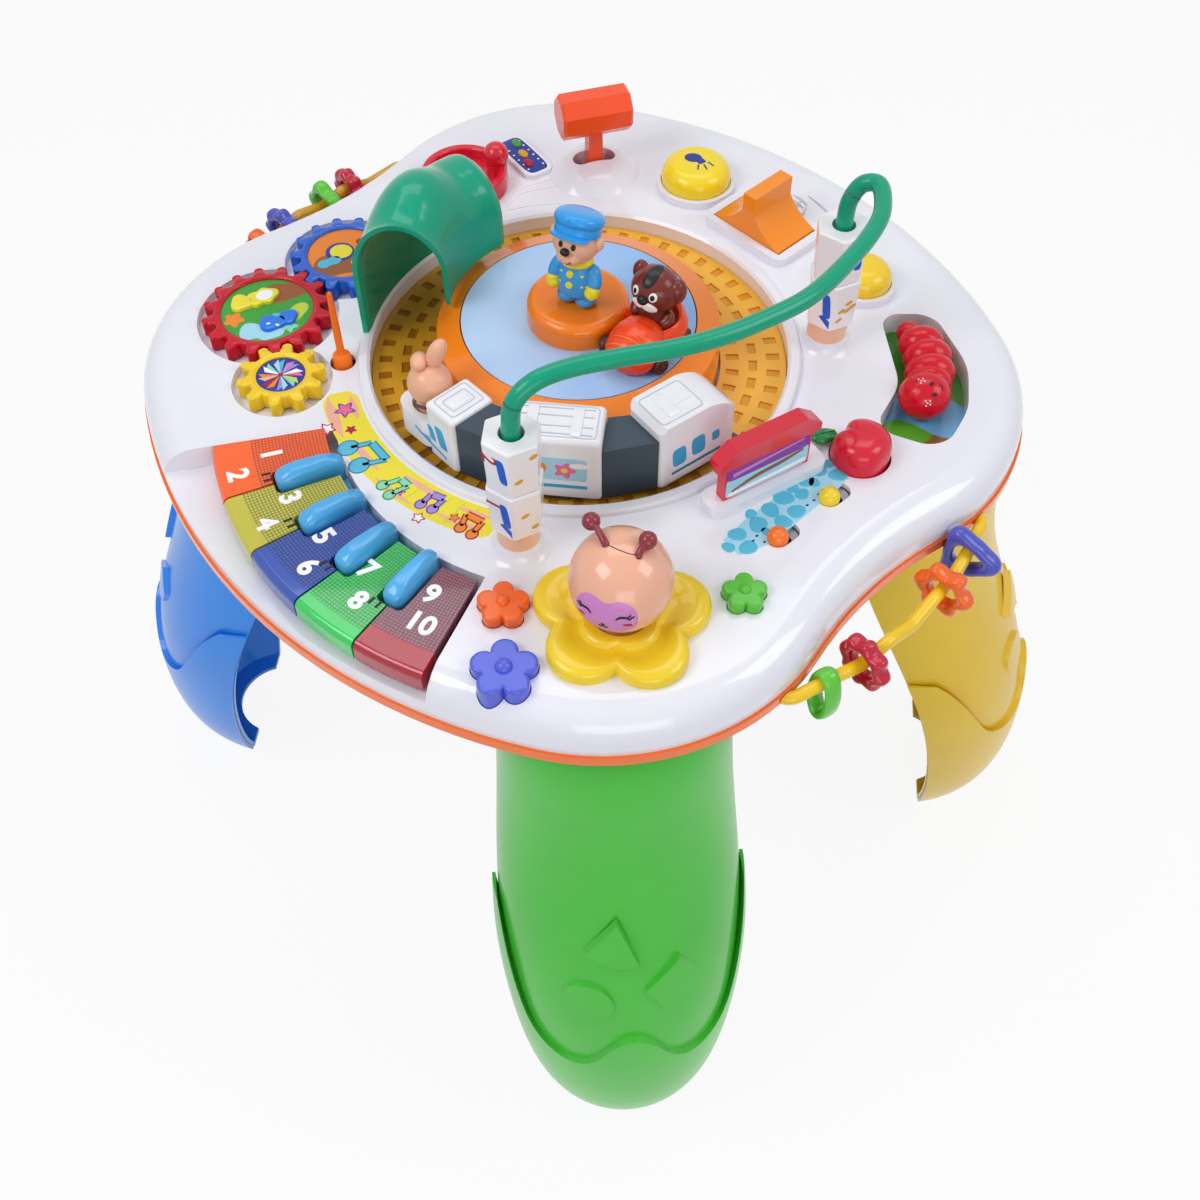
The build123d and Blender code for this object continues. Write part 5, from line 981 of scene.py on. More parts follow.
animal = [
    (
        lathe(
            [(0, 412.4), (7.6, 412.6), (9.2, 416), (9.4, 421), (8.4, 427), (7, 431), (0, 434)],
            ANIMAL, body_axes,
        ),
        fur_brown,
    ),
    (ball(FACE, (12.8, 12.0, 11.6), look), fur_brown),
    (ball(on_face(-10.6, 4.6, -2.0), (4.4, 6.0, 4.0), look), fur_brown),
    (ball(on_face(11.0, 1.6, -2.6), (4.8, 6.8, 5.4), look), fur_brown),
    on_fur(plate(oval(3.8, 8.0, (0.8, 14.0), -6, 2.6), -1.5, 0.8, 0.7), "black"),
    on_cheek(plate(oval(4.4, 2.7, (-3.6, -4.4), 26), -1.5, 1.2, 0.7), "white"),
    on_cheek(plate(oval(4.4, 2.7, (3.6, -4.4), -26), -1.5, 1.2, 0.7), "white"),
    (ball(on_face(0, -0.8, 12.0), (3.0, 2.5, 2.0), look), ink["black"]),
    on_fur(plate(star(4.4, (0.2, -9.4), 54, 0.55), -1.5, 0.9, 0.4), leaf_green),
]
for side in (-1, 1):
    animal += [
        on_fur(plate(oval(2.1, 2.5, (side * 5.4, 2.4)), -1.2, 0.5), "white"),
        on_fur(plate(oval(1.15, 1.45, (side * 5.1, 2.2)), -1.2, 0.75), "black"),
        (
            tube(
                
                [
                    ANIMAL + (0, 0, 428) + side * 7.4 * look[0],
                    ANIMAL + (0, 0, 424) + side * 9.2 * look[0] + look[2] * 3,
                    ANIMAL + (0, 0, 421) + side * 6.8 * look[0] + look[2] * 7,
                ],
                [3.4, 3.6, 3.0], 20, 16,
            ),
            fur_brown,
        ),
    ]
piece("animal_in_carrot", animal, "turntable", ["animal_figure"])

# %% Passenger
REAR_MID = (-152.0 - 122.5) / 2
seat = at(TRACK_R, REAR_MID) + at(1, REAR_MID + 90) * -10.0
SEAT = np.array([*seat, 0.0])
passenger = [
    (ball(SEAT + (0, 0, 410.4), (11.4, 11.2, 11.2)), peach_vinyl),
    (lathe([(0, 389.3), (7.4, 389.4), (7.9, 393), (7.2, 402), (0, 406)], SEAT), peach_vinyl),
    (ball(SEAT + (-4.4, 2.0, 423.0), (4.3, 4.0, 6.2), facing(-90, 8, 18)), peach_vinyl),
    (ball(SEAT + (4.6, 3.2, 427.0), (4.6, 8.6, 4.4), facing(-90, 12, -26)), peach_vinyl),
    (
        placed(
            plate(wavy(2.4, [(2, 0.3)]), -0.6, 0.6, 0.3), SEAT + (-3.6, -9.4, 402.4),
            facing(-112, -30),
        ),
        wheel_brown,
    ),
]
piece("passenger_with_ears", passenger, "carousel", ["passenger"])

# %% [markdown]
# ## Print on the train
# Windows, stripes and the picture on the train's outer side are pad-printed; the roof panels are
# fine moulded lines, painted grey as the shade in their grooves. All are thin plates set a hair
# into the car, placed in the car's own plan.


# %% Train
def car_stickers(start, end):
    """Functions that print on the outer side and on the roof of the car between two angles."""
    mid = (start + end) / 2
    ahead, out = (*at(1, mid + 90), 0), (*at(1, mid), 0)
    side = sticker((*at(CAR_SIDE_R, mid), 0), [ahead, (0, 0, 1), out])
    roof = sticker((*at(TRACK_R, mid), 0), [ahead, (*-at(1, mid), 0), (0, 0, 1)])
    return side, roof


def slanted(x, z, wide, high, lean=0.0, power=5):
    """Window outline about (x, z): a rounded box, leaning by a share of its height."""
    box = oval(wide / 2, high / 2, power=power)
    return np.stack([x + box[:, 0] + lean * box[:, 1], z + box[:, 1]], -1)


print_parts = []
outside, on_roof = car_stickers(-152, -122.5)
for x, z, wide, high in ((13.6, 397.5, 6.4, 13.5), (6.2, 396.2, 4.2, 9.0)):
    print_parts.append(outside(plate(slanted(x, z, wide, high, -0.25), -0.3, 0.12), "cyan"))
print_parts.append(outside(ribbon([(-8, 391), (0, 388.6), (16.5, 385.2)], 1.6, -0.3, 0.12), "cyan"))
# The grey roof lines are painted shade of the panel grooves.
for x, y, wide, high in ((13.2, 0, 15.5, 20), (13.2, 0, 9, 14)):
    print_parts.append(
        on_roof(ribbon(slanted(x, y, wide, high, 0, 12), 0.5, 414.9, 415.25, 0), "seam")
    )
print_parts.append(
    on_roof(plate(slanted(13.2, 0, 6.5, 11, 0, 10), 414.9, 415.4), FINISHES["train_engine"])
)

outside, on_roof = car_stickers(-111.5, -82)
print_parts += [
    outside(plate(slanted(-1, 400.6, 36, 15.5, 0, 14), -0.3, 0.1), "aqua"),
    outside(ribbon([(-19, 388.6), (17, 388.6)], 2.2, -0.3, 0.12), "cyan"),
    outside(plate(oval(4.2, 4.2, (-7, 401)), -0.2, 0.2), "orange"),
    outside(plate(wavy(4.6, [(5, 0.24)], (6, 400)), -0.2, 0.2), "rose"),
    outside(plate(oval(1.7, 1.7, (6, 400)), -0.2, 0.3), "yellow"),
    outside(plate(oval(5.2, 1.8, (13, 403.6)), -0.2, 0.2), "white"),
    outside(plate(oval(5.6, 2.0, (-14.6, 396.6)), -0.2, 0.2), "lime"),
]
# Painted shade: grey lines for the grooves between the roof panels.
for y, wide, long in ((8.4, 0.6, 38), (3.4, 0.6, 38), (-3.4, 0.6, 38), (-8.4, 0.6, 38)):
    print_parts.append(on_roof(ribbon([(-long / 2, y), (long / 2, y)], wide, 419.9, 420.3), "seam"))
for x in (-11, 11):
    print_parts.append(
        on_roof(plate(slanted(x, 0, 5.4, 19.5, 0, 10), 419.8, 420.7, 0.3), FINISHES["train_engine"])
    )
# Painted shade: a grey line for the groove round the roof panel.
print_parts.append(on_roof(ribbon(slanted(0, 0, 42, 21, 0, 14), 0.5, 419.9, 420.2, 0), "seam"))

outside, on_roof = car_stickers(-70, -37)
for x, z, wide, high in (
    (-15.6, 397.4, 8.6, 12.6), (-3.6, 398.2, 8.6, 12.6), (7.4, 398.4, 4.8, 6.6)
):
    print_parts.append(outside(plate(slanted(x, z, wide, high, -0.08, 4), -0.3, 0.12), "cyan"))
print_parts.append(outside(ribbon([(-20, 387.4), (11, 387.4)], 1.9, -0.3, 0.12), "teal"))
# Painted shade: a grey line for the groove round the roof panels.
print_parts += [
    on_roof(ribbon(slanted(-11.5, 0, 25, 20.5, 0, 12), 0.5, 420.9, 421.25, 0), "seam"),
    on_roof(plate(slanted(-14.5, 0, 7, 16, 0, 10), 420.8, 421.6, 0.3), FINISHES["train_engine"]),
    on_roof(plate(slanted(-6, 0, 11, 5.4, 0, 10), 420.8, 421.6, 0.3), FINISHES["train_engine"]),
]
nose = smooth_line([(19.2, 411.3), (21.6, 408.0), (23.4, 404.6), (24.8, 401.0)], 14)
rows = []
for y in (-6.6, 6.6):
    rows.append(np.stack([nose[:, 0], np.full(14, y), nose[:, 1] + 0.35], -1))
    rows.append(np.stack([nose[:, 0] - 0.8, np.full(14, y), nose[:, 1] - 0.8], -1))
shield = np.stack([rows[0], rows[2], rows[3], rows[1], rows[0]], 1)
ends = shield[[0, -1]].mean(1, keepdims=True) + 0 * shield[[0, -1]]
print_parts.append(on_roof(np.concatenate([ends[:1], shield, ends[1:]]), "navy"))
piece("train_print", print_parts, "carousel")

# %% [markdown]
# ## Piano
# The keys are clear plastic over a patterned grid, and their numbers are printed. The light-blue
# sharps are tongue-shaped, wider at their rounded outer end, with a raised flat on top.

# %% Sharps and key numbers
DIVIDERS = [192.5 + 10.9 * count for count in (1, 2, 3, 4)]
tongue = oval(17.4, 6.4, power=3.6)
tongue[:, 1] *= 0.84 + 0.16 * tongue[:, 0] / 17.4
sharps = []
for divider in DIVIDERS:
    axes = np.array([[*at(1, divider), 0], [*at(1, divider + 90), 0], [0, 0, 1]])
    steps = [
        (0, 371), (0.96, 371), (1, 372), (1, 384.6), (0.99, 386.2), (0.94, 387.6), (0.8, 389.2),
        (0.66, 390.2), (0.6, 390.6), (0.54, 390.9), (0.3, 391), (0, 391),
    ]
    sharps.append(
        (placed(stacked(tongue, steps), (*at(156.1, divider, PIANO_C), 0), axes), sharp_blue)
    )
sharps.append(
    (ribbon(arc(140.3, DIVIDERS[0], DIVIDERS[-1], PIANO_C), 3.0, 371, 374, 0), sharp_blue)
)
piece("tongue_sharps", sharps, "sharp_keys", ["sharp_keys"])

NUMBERS = {
    1: (-155.2, -77.1), 2: (-169.9, -91.3), 3: (-141.8, -106.5), 4: (-151.3, -122.9),
    5: (-122.5, -131.1),
    6: (-127.9, -149.9), 7: (-99.2, -152.1), 8: (-102.1, -169.9), 9: (-68.1, -166.6),
    10: (-70.8, -183.9),
}
for key in range(5):
    parts = []
    for number in (2 * key + 1, 2 * key + 2):
        x, y = NUMBERS[number]
        a = np.arctan2(y - PIANO_C[1], x - PIANO_C[0])
        axes = np.array([[-np.sin(a), np.cos(a), 0], [-np.cos(a), -np.sin(a), 0], [0, 0, 1]])
        parts.append(
            (
                placed(lettering(str(number), 14.6, -0.4, 0.12, 0.55), (x, y, 383.0), axes),
                ink["white"],
            )
        )
    if key < 4:
        edge = DIVIDERS[key]
        for turn in (-1.1, 0.3):
            parts.append(
                (
                    ribbon(
                        
                        [
                            at(174.4, edge - 1.4 + turn, PIANO_C),
                            at(179.0, edge - 1.5 + turn, PIANO_C),
                        ],
                        1.5, 382.6, 383.1,
                    ),
                    ink["black"],
                )
            )
    piece(f"key_{key + 1}_numbers", parts, f"key_{key + 1}")

# %% [markdown]
# ## Labels on the deck
# Two paper labels lie on the white deck: a music label between the track and the piano, and a
# label like round stones under the two slide knobs. Both are thin plates a tenth of a
# millimetre proud, with stars, notes and bands that belong to nobody.

# %% Music label
def deck(shape, high, colour, low=-0.2):
    return plate(shape, DECK + low, DECK + high, 0.05), ink[colour]


turns = np.linspace(-165.8, -107.6, 60)
rounding = np.sqrt(
    np.clip(1 - (1 - np.minimum(np.minimum(turns + 165.8, -107.6 - turns) / 3.2, 1)) ** 2, 0, 1)
)
label = [
    (
        ribbon(
            arc(130.4, -165.8, -107.6, count=60), 19.2 * np.clip(rounding, 0.5, 1), DECK - 0.2,
            DECK + 0.1, 0,
        ),
        ink["yellow"],
    )
]
for start, end, radius, width in (
    (-165, -152, 136.6, 5.5), (-164, -156, 125, 4), (-150, -139, 133, 4), (-138, -127, 137, 3.4),
    (-134, -122, 125.4, 3.6), (-121, -110, 134.8, 3.6), (-118, -109, 126.2, 3),
):
    label.append(
        (
            ribbon(
                arc(radius, start, end, count=24), [0.6, width, width, 0.6], DECK - 0.1,
                DECK + 0.14, 0,
            ),
            ink["pink"],
        )
    )
for start in (-128, -124.4, -120.6, -117, -113.4):
    label.append(
        (
            ribbon([at(122.4, start), at(138.4, start - 1.2)], 0.7, DECK - 0.1, DECK + 0.15),
            ink["lime"],
        )
    )
for (x, y), size, inner_colour, outer_colour in (
    ((-121.8, -44.4), 6.2, "rose", "purple"), ((-129.5, -58.2), 5.0, "white", "red"),
    ((-117.2, -58.8), 3.4, "red", "red"), ((-60.5, -118.5), 3.2, "orange", "red"),
    ((-88.5, -101.0), 3.4, "rose", "purple"), ((-78.2, -118.4), 3.8, "white", "red"),
):
    label.append(deck(star(size, (x, y), 60), 0.17, outer_colour, -0.1))
    label.append(deck(star(size * 0.72, (x, y), 60), 0.2, inner_colour, -0.1))


def note(heads, stems, colour, edge, head_r):
    """Two note heads, their stems and the beam that joins them, with a darker rim."""
    parts = []
    for (x, y), (sx, sy) in zip(heads, stems):
        foot = np.array([x, y]) + (np.array([sx, sy]) - (x, y)) * 0.12
        for grow, high, tint in ((1.6, 0.2, edge), (0.0, 0.24, colour)):
            parts.append(
                deck(
                    oval(head_r + grow / 2, head_r * 0.84 + grow / 2, (x, y), 40), high, tint, -0.1
                )
            )
            parts.append((ribbon([foot, (sx, sy)], 1.9 + grow, DECK - 0.1, DECK + high), ink[tint]))
    for grow, high, tint in ((1.6, 0.2, edge), (0.0, 0.24, colour)):
        parts.append((ribbon(stems, 3.4 + grow, DECK - 0.1, DECK + high), ink[tint]))
    return parts


label += note(
    [(-117.3, -71.6), (-110.5, -83.6)], [(-105.7, -68.0), (-97.0, -79.8)], "sky", "teal", 5.2
)
label += note(
    [(-57.2, -124.8), (-51.4, -129.0)], [(-54.6, -116.4), (-46.6, -121.4)], "orange", "red", 2.8
)
label += note(
    [(-97.5, -97.0), (-93.6, -103.4)], [(-88.8, -93.0), (-84.6, -97.6)], "mint", "green", 2.9
)
label += note(
    [(-77.6, -109.6), (-71.6, -112.8)], [(-72.6, -103.2), (-66.2, -106.4)], "lilac", "purple", 2.7
)
piece("music_label", label, "table")

# %% Stone label
stones = [
    (
        ribbon(
            [(73.5, -138.2), (88, -127.5), (106, -110.8), (122, -96.4), (132.4, -88.8)],
            [12, 19, 18, 17, 11], DECK - 0.2, DECK + 0.08,
        ),
        ink["aqua"],
    )
]
for x, y, big in (
    (77.2, -130.0, 4.3), (81.9, -138.1, 4.4), (87.7, -123.8, 4.8), (94.4, -114.5, 4.6),
    (101.4, -106.6, 5.0), (107.1, -115.6, 4.4),
    (113.5, -94.6, 4.8), (120.6, -88.4, 4.2), (129.9, -91.6, 4.4), (106.5, -100.6, 3.0),
    (91.1, -128.2, 2.4), (100.0, -122.0, 4.2), (110.8, -104.4, 3.6),
    (117.6, -96.8, 3.0), (72.4, -138.0, 3.2), (125.6, -84.2, 3.0), (84.6, -117.0, 3.0),
):
    stones.append(deck(wavy(big, [(2, 0.08), (3, 0.05)], (x, y), x * 7), 0.13, "sky", -0.1))
for x, y in (
    (86.6, -131.0), (90.0, -134.8), (97.6, -126.0), (84.6, -134.0), (116.4, -108.4),
    (119.0, -104.6), (112.8, -111.6),
):
    stones.append(deck(oval(0.9, 0.6, (x, y), 40), 0.18, "navy", -0.1))
piece("stone_label", stones, "table")

# %% [markdown]
# ## Small prints and raised marks
# The light panel, the raised ridges beside the dial, the note marks beside the rocker, the lamp
# sign on its button, the number towers and the station sign.

# %% Light panel, ridges and marks
panel = np.array([[*at(1, 124), 0], [*at(1, 214), 0], [0, 0, 1]])
PANEL = (-34.5, 168.5, 384.0)
on_panel = sticker(PANEL, panel)
marks = [
    on_panel(plate(oval(18.6, 7.4, power=5), -0.3, 0.12), "navy"),
    on_panel(plate(oval(19.4, 8.2, power=5), -0.3, 0.06), "white"),
]
for (x, y), colour in (
    ((-39.3, 180.0), "green"), ((-34.9, 169.5), "amber"), ((-31.6, 160.4), "red")
):
    marks.append(
        (
            placed(
                
                stacked(
                    oval(4.2, 2.6),
                    [(0, -0.2), (1, -0.2), (1, 0.3), (0.9, 0.9), (0.6, 1.3), (0.3, 1.45), (0, 1.5)],
                ),
                (x, y, 384.1), panel,
            ),
            ink[colour],
        )
    )
for x in (-13.5, -8, -2.6, 3, 8.5, 13.5):
    for y in (-5.2, 5.2):
        marks.append(on_panel(plate(oval(0.7, 0.7, (x, y)), -0.1, 0.2), "white"))
white_shell = FINISHES["train_engine"]
for ridge in (
    [(-45.8, 131.9), (-32.8, 142.1), (-12.9, 150.0)],
    [(-44.0, 121.7), (-34.6, 135.7), (-12.8, 141.9)],
    [(-42.4, 119.2), (-28, 124.2), (-11.7, 125.1)],
):
    marks.append((ribbon(ridge, [0.4, 1.5, 1.5, 0.4], DECK - 0.2, DECK + 0.5), white_shell))
for ridge in (
    [(136, 131), (144, 119), (149, 106)], [(127, 132), (131, 128), (134.5, 122)],
    [(125.4, 128.6), (129, 124.4), (132, 119.4)],
):
    marks.append((ribbon(ridge, [0.4, 1.2, 1.2, 0.4], DECK - 0.2, DECK + 0.45), ink["seam"]))
for x, y in ((130, 113.6), (127.8, 121.6)):
    marks.append((plate(oval(2.0, 1.5, (x, y), 30), DECK - 0.2, DECK + 0.5, 0.2), ink["seam"]))
    marks.append(
        (ribbon([(x + 1.6, y), (x + 3.8, y + 6.4)], 0.8, DECK - 0.2, DECK + 0.5), ink["seam"])
    )
piece("panel_and_ridges", marks, "table")

# %% Lamp sign on the yellow button
LAMP = np.array([69.2, 142.5, 398.0])
sign_axes = np.array([[*at(1, -12), 0], [*at(1, 78), 0], [0, 0, 1]])
on_lamp = sticker(LAMP, sign_axes)
lamp_sign = [
    on_lamp(plate(oval(5.2, 4.3, (-2.6, 2.6)), -0.3, 0.1), "navy"),
    on_lamp(plate(oval(2.5, 2.4, (2.4, 0.2), 45, 5), -0.3, 0.12), "navy"),
]
for x0, y0, x1, y1 in ((1.6, -3.4, 1.9, -8.2), (4.6, -2.6, 7.2, -7.0), (6.6, 0.2, 10.6, -3.0)):
    lamp_sign.append(on_lamp(ribbon([(x0, y0), (x1, y1)], 1.0, -0.3, 0.1), "navy"))
piece("lamp_sign", lamp_sign, "lamp_button")


# %% Number towers
BLOCK_HIGH, BLOCK_FLARE, BLOCK_FACE_R = 29.2, 1.04, 12.12


def tower_print(node, centre, low, turn, number, window, triangle, dots):
    """Print on two faces of a six-sided block whose faces lean out by 2 degrees."""
    lean = -np.degrees(np.arctan(BLOCK_FLARE / BLOCK_HIGH))
    parts = []
    axes = facing(turn, lean)
    spot = np.array([*at(BLOCK_FACE_R, turn, centre), low + BLOCK_HIGH / 2])
    on_block = sticker(spot, axes)
    if number:
        sideways = np.array([-axes[1], axes[0], axes[2]])
        digit = lettering(number, 11.5, -0.3, 0.12, 0.2)
        parts.append((placed(digit, spot + axes[0] * -3.2 + axes[1] * 6.0, sideways), ink["red"]))
    if window:
        parts.append(on_block(plate(slanted(3.0, 1.0, 4.6, 15.5, -0.1, 4), -0.3, 0.12), "blue"))
    if triangle:
        corners = np.array([(-0.8, -7.2), (5.8, -13.4), (5.8, -8.6), (1.8, -5.2), (-0.8, -7.2)])
        parts.append(on_block(plate(filled_in(corners), -0.3, 0.12), "blue"))
    spot = np.array([*at(BLOCK_FACE_R, turn + 60, centre), low + BLOCK_HIGH / 2])
    on_block = sticker(spot, facing(turn + 60, lean))
    for x, y in dots:
        parts.append(on_block(plate(oval(2.2, 1.3, (x, y), 25), -0.3, 0.12), "amber"))
    if parts:
        piece(f"{node}_print", parts, node)


FRONT, RIGHT = (-28.0, -136.0), (133.0, 5.0)
tower_print("number_block_1", FRONT, 400.4, -125, "1", True, True, [(-0.6, 0.6), (4.2, -9)])
tower_print("number_block_2", FRONT, 430.0, -125, "2", True, False, [(-2.4, -5.0), (5.0, 8.6)])
tower_print("number_block_3", RIGHT, 430.0, -65, "3", True, False, [(0, 2), (3, -7)])
tower_print(
    "number_block_4", RIGHT, 400.4, -125, "", True, True,
    [(-2.4, -8.4), (-1.6, -2.4), (1.8, -3.0), (2.2, 2.0), (4.8, -1.0)],
)

# %% Station sign
SIGN_TURN = 31
on_sign = sticker(
    (91, -98.5, 387), [(*at(1, SIGN_TURN), 0), (0, 0, 1), (*at(1, SIGN_TURN - 90), 0)]
)
board = [
    on_sign(plate(oval(24.4, 5.6, (0, 18.2), power=8), 2.6, 3.3), "purple"),
    on_sign(plate(oval(24.4, 6.9, (0, 7.6), power=8), 2.6, 3.25), "aqua"),
    on_sign(ribbon([(-23, 3.2), (23, 4.0)], 2.2, 2.6, 3.4), "white"),
    on_sign(
        ribbon([(-21, 5.0), (-8, 8.4), (8, 10.0), (21, 12.0)], [1.2, 2.4, 2.4, 1.2], 2.6, 3.5),
        "brown",
    ),
    on_sign(ribbon([(-21, 16.4), (21, 19.8)], [2.6, 0.8], 2.6, 3.5), "mauve"),
]
piece("station_sign_print", board, "table")

# %% [markdown]
# ## Gears
# Each gear carries a picture under its raised rim: a meadow with two raised shapes, a sun over
# hills, and a paper windmill of eight folded blades.


# %% Gear rims
GEAR_TEETH = {"gear_red": 16, "gear_blue": 14, "gear_yellow": 10}
GEAR_MODULE = 4.07
TO_YELLOW, TO_BLUE = -74.3, 51.6  # directions from the red gear
gear_at = {name: np.array([(a + b) / 2 / MM for a, b in zip(*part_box(name))]) for name in GEAR_TEETH}
red_teeth = GEAR_TEETH["gear_red"]
PHASE = {"gear_red": TO_YELLOW}
for name, direction in (("gear_yellow", TO_YELLOW), ("gear_blue", TO_BLUE)):
    lead = (TO_YELLOW - direction) % (360 / red_teeth)
    PHASE[name] = direction + 180 - lead * red_teeth / GEAR_TEETH[name] + 180 / GEAR_TEETH[name]


def rim_surface(name):
    """Ring with pegs: a tooth is a power of a cosine, its top rounded by shares of height."""
    teeth = GEAR_TEETH[name]
    pitch = GEAR_MODULE * teeth / 2
    u = np.linspace(0, 2 * pi, 24 * teeth + 1)
    bump = np.clip(np.cos(teeth * (u - radians(PHASE[name]))) * 0.72 + 0.28, 0, 1) ** 0.5
    rings = []
    for tooth, root, z in (
        (0.9, -4.2, 376.8), (1, -3.6, 376.8), (1, -3.0, 377.6), (1, -3.0, 383.4),
        (0.93, -3.1, 384.8), (0.7, -3.4, 385.8), (0.3, -3.9, 386.3),
        (0, -4.6, 386.5), (0, -5.6, 386.3), (0, -6.4, 385.8), (0, -6.9, 385.0), (0, -7.0, 384.4),
        (0, -7.0, 376.8), (0.9, -4.2, 376.8),
    ):
        r = pitch + root + tooth * (5.7 * bump)
        if tooth == 0:
            r = np.full_like(u, pitch + root)
        rings.append(np.stack([r * np.cos(u), r * np.sin(u), np.full_like(u, z)], -1))
    return np.stack(rings) + (*gear_at[name][:2], 0)


# %% Gear pictures
def on_gear(shape, high, colour, low=384.6, edge=0.06):
    return plate(shape, low, high, edge), inked(colour)


RED, BLUE, YELLOW = (gear_at[name][:2] for name in ("gear_red", "gear_blue", "gear_yellow"))
raised_yellow, raised_blue = moulded(
    "yellow_abs_cut_out", "#F2E236"
), moulded("blue_abs_cut_out", "#1E78E6")
red_parts = [
    on_gear(oval(25.2, 25.2, RED), 385.0, "green"),
    on_gear(wavy(10, [(2, 0.3), (3, 0.1)], RED + (8, 15), 20), 385.06, "brown"),
    on_gear(wavy(9, [(2, 0.35), (5, 0.08)], RED + (-1, -17.2), 0), 385.06, "aqua"),
    on_gear(wavy(7, [(2, 0.4), (4, 0.1)], RED + (15.5, -3.5), 60), 385.08, "lime"),
    on_gear(wavy(5, [(5, 0.2)], RED + (-17, -8)), 385.1, "orange"),
    on_gear(wavy(4, [(5, 0.25)], RED + (14, -13)), 385.1, "mint"),
    on_gear(
        wavy(7.4, [(2, 0.2), (5, 0.1)], RED + (-3.4, 9.6), 30), 387.2, raised_yellow, 384.6, 1.2
    ),
    on_gear(wavy(6.2, [(3, 0.12)], RED + (-14.6, 4.6), 0), 387.2, raised_yellow, 384.6, 1.2),
    on_gear(wavy(4.4, [(2, 0.1)], RED + (-2.2, 10.0), 30), 387.35, "white", 386.8, 0.1),
    on_gear(
        wavy(6.6, [(3, 0.1), (2, 0.15)], RED + (4.6, -11.4), 15), 387.2, raised_blue, 384.6, 1.2
    ),
    on_gear(wavy(5.4, [(3, 0.12)], RED + (12.6, -6.6), 50), 387.2, raised_blue, 384.6, 1.2),
    on_gear(oval(2.2, 1.4, RED + (6.4, -6.4)), 387.35, "sky", 386.9, 0.1),
    on_gear(oval(1.2, 0.7, RED + (3.0, -13.4), 20), 387.35, "white", 386.9, 0.1),
    on_gear(oval(1.2, 0.7, RED + (8.0, -14.4), -20), 387.35, "white", 386.9, 0.1),
]
red_parts.append((rim_surface("gear_red"), FINISHES["gear_red"]))
piece("red_gear_picture", red_parts, "gear_red")
blue_parts = [
    on_gear(oval(21.1, 21.1, BLUE), 385.0, "orange"),
    on_gear(wavy(12, [(2, 0.3), (3, 0.08)], BLUE + (-2, -10), 10), 385.05, "brown"),
    on_gear(oval(8.2, 8.2, BLUE + (-3, 1)), 385.1, "navy"),
    on_gear(oval(6.4, 6.0, BLUE + (-2.4, 1.4)), 385.16, "yellow"),
    on_gear(wavy(5, [(2, 0.4)], BLUE + (-8, -8), 30), 385.16, "sky"),
    on_gear(wavy(4.4, [(3, 0.2)], BLUE + (10, 9), 30), 385.1, "red"),
    on_gear(wavy(3.6, [(2, 0.3)], BLUE + (8, -6), 60), 385.14, "white"),
]
blue_parts.append((rim_surface("gear_blue"), FINISHES["gear_blue"]))
piece("blue_gear_picture", blue_parts, "gear_blue")
windmill = [on_gear(oval(13.0, 13.0, YELLOW), 385.0, "navy")]
for blade, (tint, fold) in enumerate(
    (
        ("rose", "white"), ("lilac", "mauve"), ("sky", "aqua"), ("mint", "white"),
        ("orange", "pink"), ("red", "orange"), ("lilac", "aqua"), ("mint", "lime"),
    )
):
    for shift, colour, high in ((0, tint, 385.1), (16, fold, 385.16)):
        a = 45.0 * blade + shift
        corners = np.array(
            [
                YELLOW + at(0.4, a), YELLOW + at(11.9, a - 3),
                YELLOW + at(9.0, a + 20 - shift * 0.3), YELLOW + at(0.4, a),
            ]
        )
        windmill.append((plate(filled_in(corners), 384.7, high, 0.04), ink[colour]))
windmill.append(on_gear(oval(1.4, 1.4, YELLOW), 385.4, "red", 384.7, 0.2))
windmill.append((rim_surface("gear_yellow"), FINISHES["gear_yellow"]))
piece("windmill_picture", windmill, "gear_yellow")

# %% [markdown]
# ## Bead arch and beads
# The green arch is one tube bent on a former, so it curves softly from tower to tower. The beads
# are moulded rings with rounded edges: an oval, two with bumps, and a triangle.

# %% Arch
route = [
    (-28, -136, 440), (-28, -136, 452), (-28, -136, 464), (-25.8, -135.4, 477), (-16.5, -131, 485),
    (-1, -124.4, 486.6), (22, -118, 486.6), (40, -113.4, 486),
    (59, -106, 485), (79, -95, 484), (106, -76, 483.6), (130, -46, 483.6), (143, -24, 484.2),
    (146.6, -8, 485), (145.2, 1.6, 485.6),
    (138.8, 5.4, 482.6), (134, 5.2, 474), (133, 5, 462), (133, 5, 450), (133, 5, 440),
]
piece(
    "bead_arch", [(tube(route, 4.35, 220, 28), FINISHES["bead_tube"])], "table", ["bead_tube"],
)


# %% Beads
ROD_REACH, ROD_Z = 230.0, 358.7


def ring_bead(azimuth, hole_up, outside, inside, thick=4.5):
    """Ring across the rod: a cosine leads from inner to outer outline, a sine along the rod."""
    origin = np.array([*at(ROD_REACH, azimuth), ROD_Z - hole_up])
    axes = np.array([[*at(1, azimuth), 0], [0, 0, 1], [*at(1, azimuth - 90), 0]])
    v = np.linspace(0, 2 * pi, 25)[:, None]
    across, along = (np.sign(wave) * np.abs(wave) ** 0.85 for wave in (np.cos(v), np.sin(v)))
    middle, half = (outside + inside) / 2, (outside - inside) / 2
    flat = middle[None] + half[None] * across[..., None]
    depth = np.broadcast_to((thick * along)[..., None], flat.shape[:2] + (1,))
    return placed(np.concatenate([flat, depth], -1), origin, axes)


def bumpy(radius, bumps, bump_r):
    return wavy(radius - bump_r * 0.45, [(bumps, 0.45 * bump_r / radius)], count=96)


def hole(radius=7.4):
    return oval(radius, radius, count=96)


